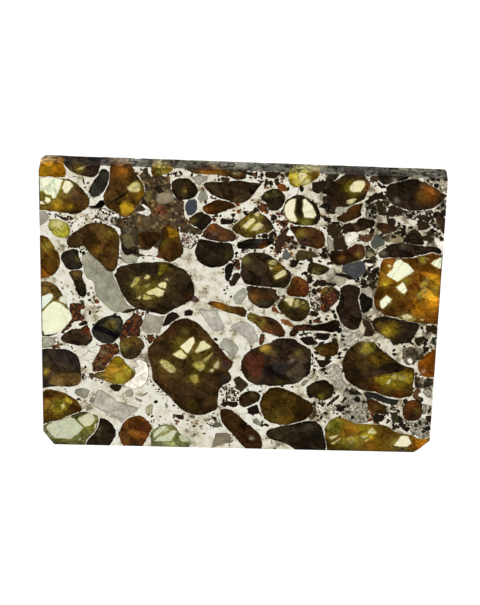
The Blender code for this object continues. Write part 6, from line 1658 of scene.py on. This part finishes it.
# Zones of crumbs as (share of places filled, spacing, kind of bits, outline).
CRUSHED = [
    (0.45, 0.5, "brown", [-27.6, 16.2, -22, 15.9, -19.8, 15.3, -17.8, 16.3, -16.6, 15, -18, 13.9, -20, 14.4,
     -23, 14.3, -25.4, 13.6, -26, 15]),
    (0.7, 0.45, "black", [-26.6, 12.5, -24.6, 12.9, -23.7, 10.9, -22.4, 10.4, -23, 9.2, -25.8, 10]),
    (0.35, 0.5, "ashen", [-26, 3.7, -24.2, 4.2, -21.4, 1.6, -20.6, 0.2, -23, 0, -24.6, 0.6, -25.4, 1.6]),
    (0.8, 0.42, "brown", [-2.8, 8.4, -1.4, 10.4, 0.2, 10.2, 0.2, 7.6, -0.2, 5, -1.2, 4.4, -2.2, 5.2]),
    (0.7, 0.42, "black", [-2.6, 16.1, -0.4, 16.1, -0.1, 15, -1.9, 14.1]),
    (0.75, 0.4, "black", [-0.8, 13.6, 0.4, 12.9, 1.6, 13.5, 4.8, 14.1, 5.8, 13.4, 5.6, 12.1, 2, 12,
     -0.2, 11.6, -1.2, 12.6]),
    (0.7, 0.4, "rusty", [1.8, 18.6, 3.4, 18.9, 4.6, 16.4, 6.9, 16.2, 6.9, 14.6, 5.9, 13.9, 3.4, 16.9,
     2.2, 17.1]),
    (0.7, 0.42, "brown", [4.8, 13.6, 6.4, 14.6, 7.6, 14.7, 8.2, 12, 6.3, 9, 7.6, 8.4, 5.8, 8.7, 5.1, 10.6,
     5.4, 12]),
    (0.85, 0.45, "black", [12.1, 24, 15.2, 24, 14.4, 22.6, 12.9, 21.6, 12.3, 19.8, 12.6, 17.2, 13.7, 16.8,
     13.4, 19.8, 12.2, 22.2]),
    (0.85, 0.45, "brown", [18.5, 22.8, 19.2, 24, 24.2, 24, 24.6, 23.4, 20.9, 21.8, 20.3, 22.9, 19.6, 22.3]),
    (0.5, 0.45, "ashen", [24.2, 24, 30, 24, 30, 20.2, 28.9, 20.9, 27.6, 22.1, 25.8, 23.2]),
    (0.8, 0.42, "black", [18.2, 20.4, 20.4, 20.8, 21.4, 19.8, 23.8, 18.1, 23.2, 17.1, 20.6, 17.2,
     19.6, 16.2, 18, 17.4]),
    (0.8, 0.42, "black", [23.5, 18, 26, 18.2, 28.4, 18, 29, 15.6, 28, 14.9, 27.6, 16.7, 25.9, 17,
     24.4, 16.8]),
    (0.8, 0.42, "brown", [28.2, 18.6, 30, 18.8, 30, 13.8, 28.8, 14.5, 28.1, 16]),
    (0.8, 0.4, "black", [22.8, 16.1, 24.3, 15.5, 24.5, 14.1, 22.8, 13.9]),
    (0.75, 0.45, "black", [12.3, 15.8, 14.7, 15.8, 15.4, 14.4, 15.8, 12.6, 16.6, 11.6, 13.4, 11.2,
     12.7, 12.8]),
    (0.7, 0.42, "brown", [16.8, 14.5, 19.6, 14.6, 19.4, 12.9, 17.6, 12.2, 16.6, 12.9]),
    (0.5, 0.42, "ashen", [18.3, 11.8, 20.8, 11.6, 21, 10, 20.2, 9.1, 18.6, 9.9]),
    (0.8, 0.4, "black", [18.3, 9.8, 20.3, 9.5, 20.8, 7, 20.9, 4.2, 18.2, 5.7, 16.6, 6.2, 17.9, 7.2]),
    (0.75, 0.4, "black", [11.4, 12, 12.9, 12, 13.3, 9.5, 12.2, 9.4, 10.4, 10, 11.9, 10.8]),
    (0.6, 0.42, "rusty", [10.4, 5.9, 13, 6.3, 14.8, 3.6, 13.6, 1.2, 12.2, 0.6, 11.6, 3.4, 10.6, 4.4]),
    (0.5, 0.36, "black", [10.9, 3, 13, 3, 13.6, 1.2, 11.4, 0.8]),
    (0.55, 0.42, "brown", [-28.7, -4.8, -27.4, -4.5, -26.8, -5.3, -26, -6, -24.4, -6.7, -23.8, -7.9,
     -27.9, -6.3]),
    (0.75, 0.4, "maroon", [-24.5, -10.3, -22.8, -10.7, -22.2, -11.8, -20.8, -12.1, -20.2, -13, -22.6, -12.6,
     -23.4, -13.1, -24.3, -11.6]),
    (0.7, 0.4, "rusty", [-16.2, 0.1, -14.2, -0.1, -14.4, -1.6, -15.3, -3.6, -14.4, -4, -12.4, -4, -12, -4.8,
     -13.4, -6, -15, -5.4, -15.7, -4]),
    (0.75, 0.4, "black", [-14.1, -6.8, -13.3, -9, -13.8, -12, -12.7, -13.8, -11.2, -15, -10.8, -14,
     -12.3, -12.4, -12.9, -11, -12.4, -9.4, -13.4, -6.6]),
    (0.4, 0.42, "brown", [-9.9, -17.8, -7.6, -17.6, -4.8, -18.2, -3.1, -17.7, -3, -19.7, -5, -20.7, -8, -20,
     -10.1, -19]),
    (0.45, 0.4, "brown", [-14.3, -17.5, -10.4, -19, -12.6, -19.8, -13.9, -19.3]),
    (0.6, 0.42, "brown", [-2.7, -12.9, -0.6, -12.3, 0.2, -13.3, 2.4, -12.9, 1.4, -12.1, 3.6, -14, 0, -16.4,
     -2.9, -16.3]),
    (0.7, 0.36, "black", [7.8, -2.9, 11.8, -2.9, 11.8, -3.5, 8, -3.9]),
    (0.5, 0.36, "black", [10.8, -6.6, 11.9, -6.7, 11.9, -10.4, 10.9, -10.2]),
    (0.55, 0.42, "ashen", [11.4, -14.6, 14.6, -14.8, 15.6, -16.4, 13.8, -18, 12, -18.6, 11, -17.4]),
    (0.75, 0.4, "black", [16.8, -11.9, 18.4, -12.9, 19.5, -13.9, 17.2, -13.9]),
    (0.8, 0.4, "black", [19.4, -12.9, 21.8, -13.7, 23.4, -14.5, 21, -14.8, 19.4, -14.2]),
    (0.6, 0.4, "rusty", [20, -14.6, 22.4, -15, 23, -16.6, 22.4, -18.8, 20.2, -18.6, 19.6, -16.4]),
    (0.6, 0.42, "black", [22.6, -15.4, 24.6, -15.4, 25.5, -17.2, 26.8, -18.6, 26.6, -20.2, 24, -19.5,
     22.7, -17.6]),
    (0.6, 0.42, "black", [26.6, -3.3, 30, -3.2, 30, -4.6, 27, -5]),
    (0.8, 0.42, "brown", [18.7, -0.1, 19.7, -0.1, 20.7, -2, 20.5, -3.7, 18.9, -3.5]),
    (0.8, 0.4, "black", [27.3, -0.7, 30, -0.5, 30, -2.1, 28.4, -2.1]),
    (0.75, 0.42, "brown", [26.9, -9.6, 30, -9.4, 30, -12.6, 27.2, -12.4]),
    (0.75, 0.42, "brown", [-13.6, 24, -11.9, 22.4, -9.6, 22.6, -9.9, 24]),
    (0.8, 0.42, "black", [-21.6, 24, -20.4, 22.4, -19.6, 21, -19.4, 19.4, -20.2, 19.2, -21.3, 21.6,
     -22.2, 22.4, -22.8, 24]),
    (0.8, 0.42, "black", [-17.4, 12.2, -15.8, 11.6, -15.2, 9.6, -14, 8.8, -16, 8.8, -17.9, 9.8]),
    (0.55, 0.5, "brown", [-0.2, 24, 6.6, 24, 6.4, 22, 4, 21.5, 2.2, 21.5, 2, 22.3, 0, 22.3]),
    (0.8, 0.42, "black", [9.9, 22.3, 12, 22.6, 12.2, 21, 10.4, 20.7]),
    (0.5, 0.75, "brown", [-16.5, 23.9, -9, 23.9, -8, 19, -8, 14, -9, 9, -18, 9, -18, 15, -15, 16]),
    (0.3, 0.8, "black", [12, 23.9, 30, 23.9, 30, 11.5, 20.4, 11, 19, 5, 12, 9]),
    (0.25, 0.5, "rusty", [-8, 23.9, 4, 23.9, 7.5, 15, 8, 9, -1, 9, -1, 14, -8, 14]),
    (0.3, 0.36, "rusty", [4, 9, 8.4, 9, 8, 14, 7, 17.5, 2, 18.5, 4.5, 15]),
    (0.35, 0.85, "black", [-6, 24, 30, 24, 30, -24, 10, -24, 9, -17, 10, -7, 9, 8, -6, 10]),
    (0.05, 0.4, "brown", [-30, 24, 30, 24, 30, -22, 28, -24, -28, -24, -30, -21]),
]
BIT_SIZES = (0.4, 1.1)
BIT_CORNERS = (4, 7)
BIT_STRETCH = (0.45, 1.0)
BIT_REACH = (0.45, 1.0)
BIT_TURN = 0.3
SHEARED = [-30, 24, 30, 24, 30, -24, 8, -24, 8, -17, -1, -17, -1, -8, 8, -8, 8, 8, -30, 8]
SHEARED_SHARE = 0.1
SOUND_SHARE = 0.05
RIND_SIZES = (0.12, 0.32)
RIND_TONES = (0.5, 1.1)
RIND_SPREAD = 0.15
CLEAR_SHARE = 0.6


def crumb(x, y, size, rng):
    """Jagged little shape around a place."""
    corners = rng.randint(*BIT_CORNERS)
    lean = rng.uniform(0, math.pi)
    stretch = rng.uniform(*BIT_STRETCH)
    shape = []
    for k in range(corners):
        turn = 2 * math.pi * (k + rng.uniform(-BIT_TURN, BIT_TURN)) / corners
        reach = size * rng.uniform(*BIT_REACH)
        along, across = reach * math.cos(turn), reach * math.sin(turn) * stretch
        shape.append((x + along * math.cos(lean) - across * math.sin(lean),
                      y + along * math.sin(lean) + across * math.cos(lean)))
    return shape


rng = random.Random("crushed bits")
pile = Pile()
crumbs = []
for share, spacing, kind, places in CRUSHED:
    for x, y in loose_points(traced(places), spacing, rng):
        size = spacing * rng.uniform(*BIT_SIZES)
        if rng.random() < share:
            shape = crumb(x, y, size, rng)
            crumbs.append((shape, toned(rng.choice(BITS[kind]), rng.uniform(*GRAIN_TONES))))
for outline in outlines.values():
    for (x, y), loose in zip(outline, inside(outline, traced(SHEARED))):
        size = rng.uniform(*RIND_SIZES)
        if rng.random() < (SHEARED_SHARE if loose else SOUND_SHARE):
            place = [spot + rng.uniform(-RIND_SPREAD, RIND_SPREAD) for spot in (x, y)]
            shape = crumb(*place, size, rng)
            crumbs.append((shape, toned(rng.choice(BITS["brown"]), rng.uniform(*RIND_TONES))))
crumbs = [(trimmed(shape), tone) for shape, tone in crumbs]
corners = [corner for shape, _ in crumbs for corner in shape]
free = clear_of_crystals(corners)
for _, places in INLAYS:
    free &= ~inside(corners, traced(places))
first = 0
for shape, tone in crumbs:
    if len(shape) > 2 and free[first:first + len(shape)].mean() > CLEAR_SHARE:
        pile.flake(shape, tone, BIT_TOP - rng.uniform(0, BIT_UNEVEN))
    first += len(shape)
pile.build("crushed_crystal_bits", broken)

size = [cad_box, [list(corner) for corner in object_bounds()]]
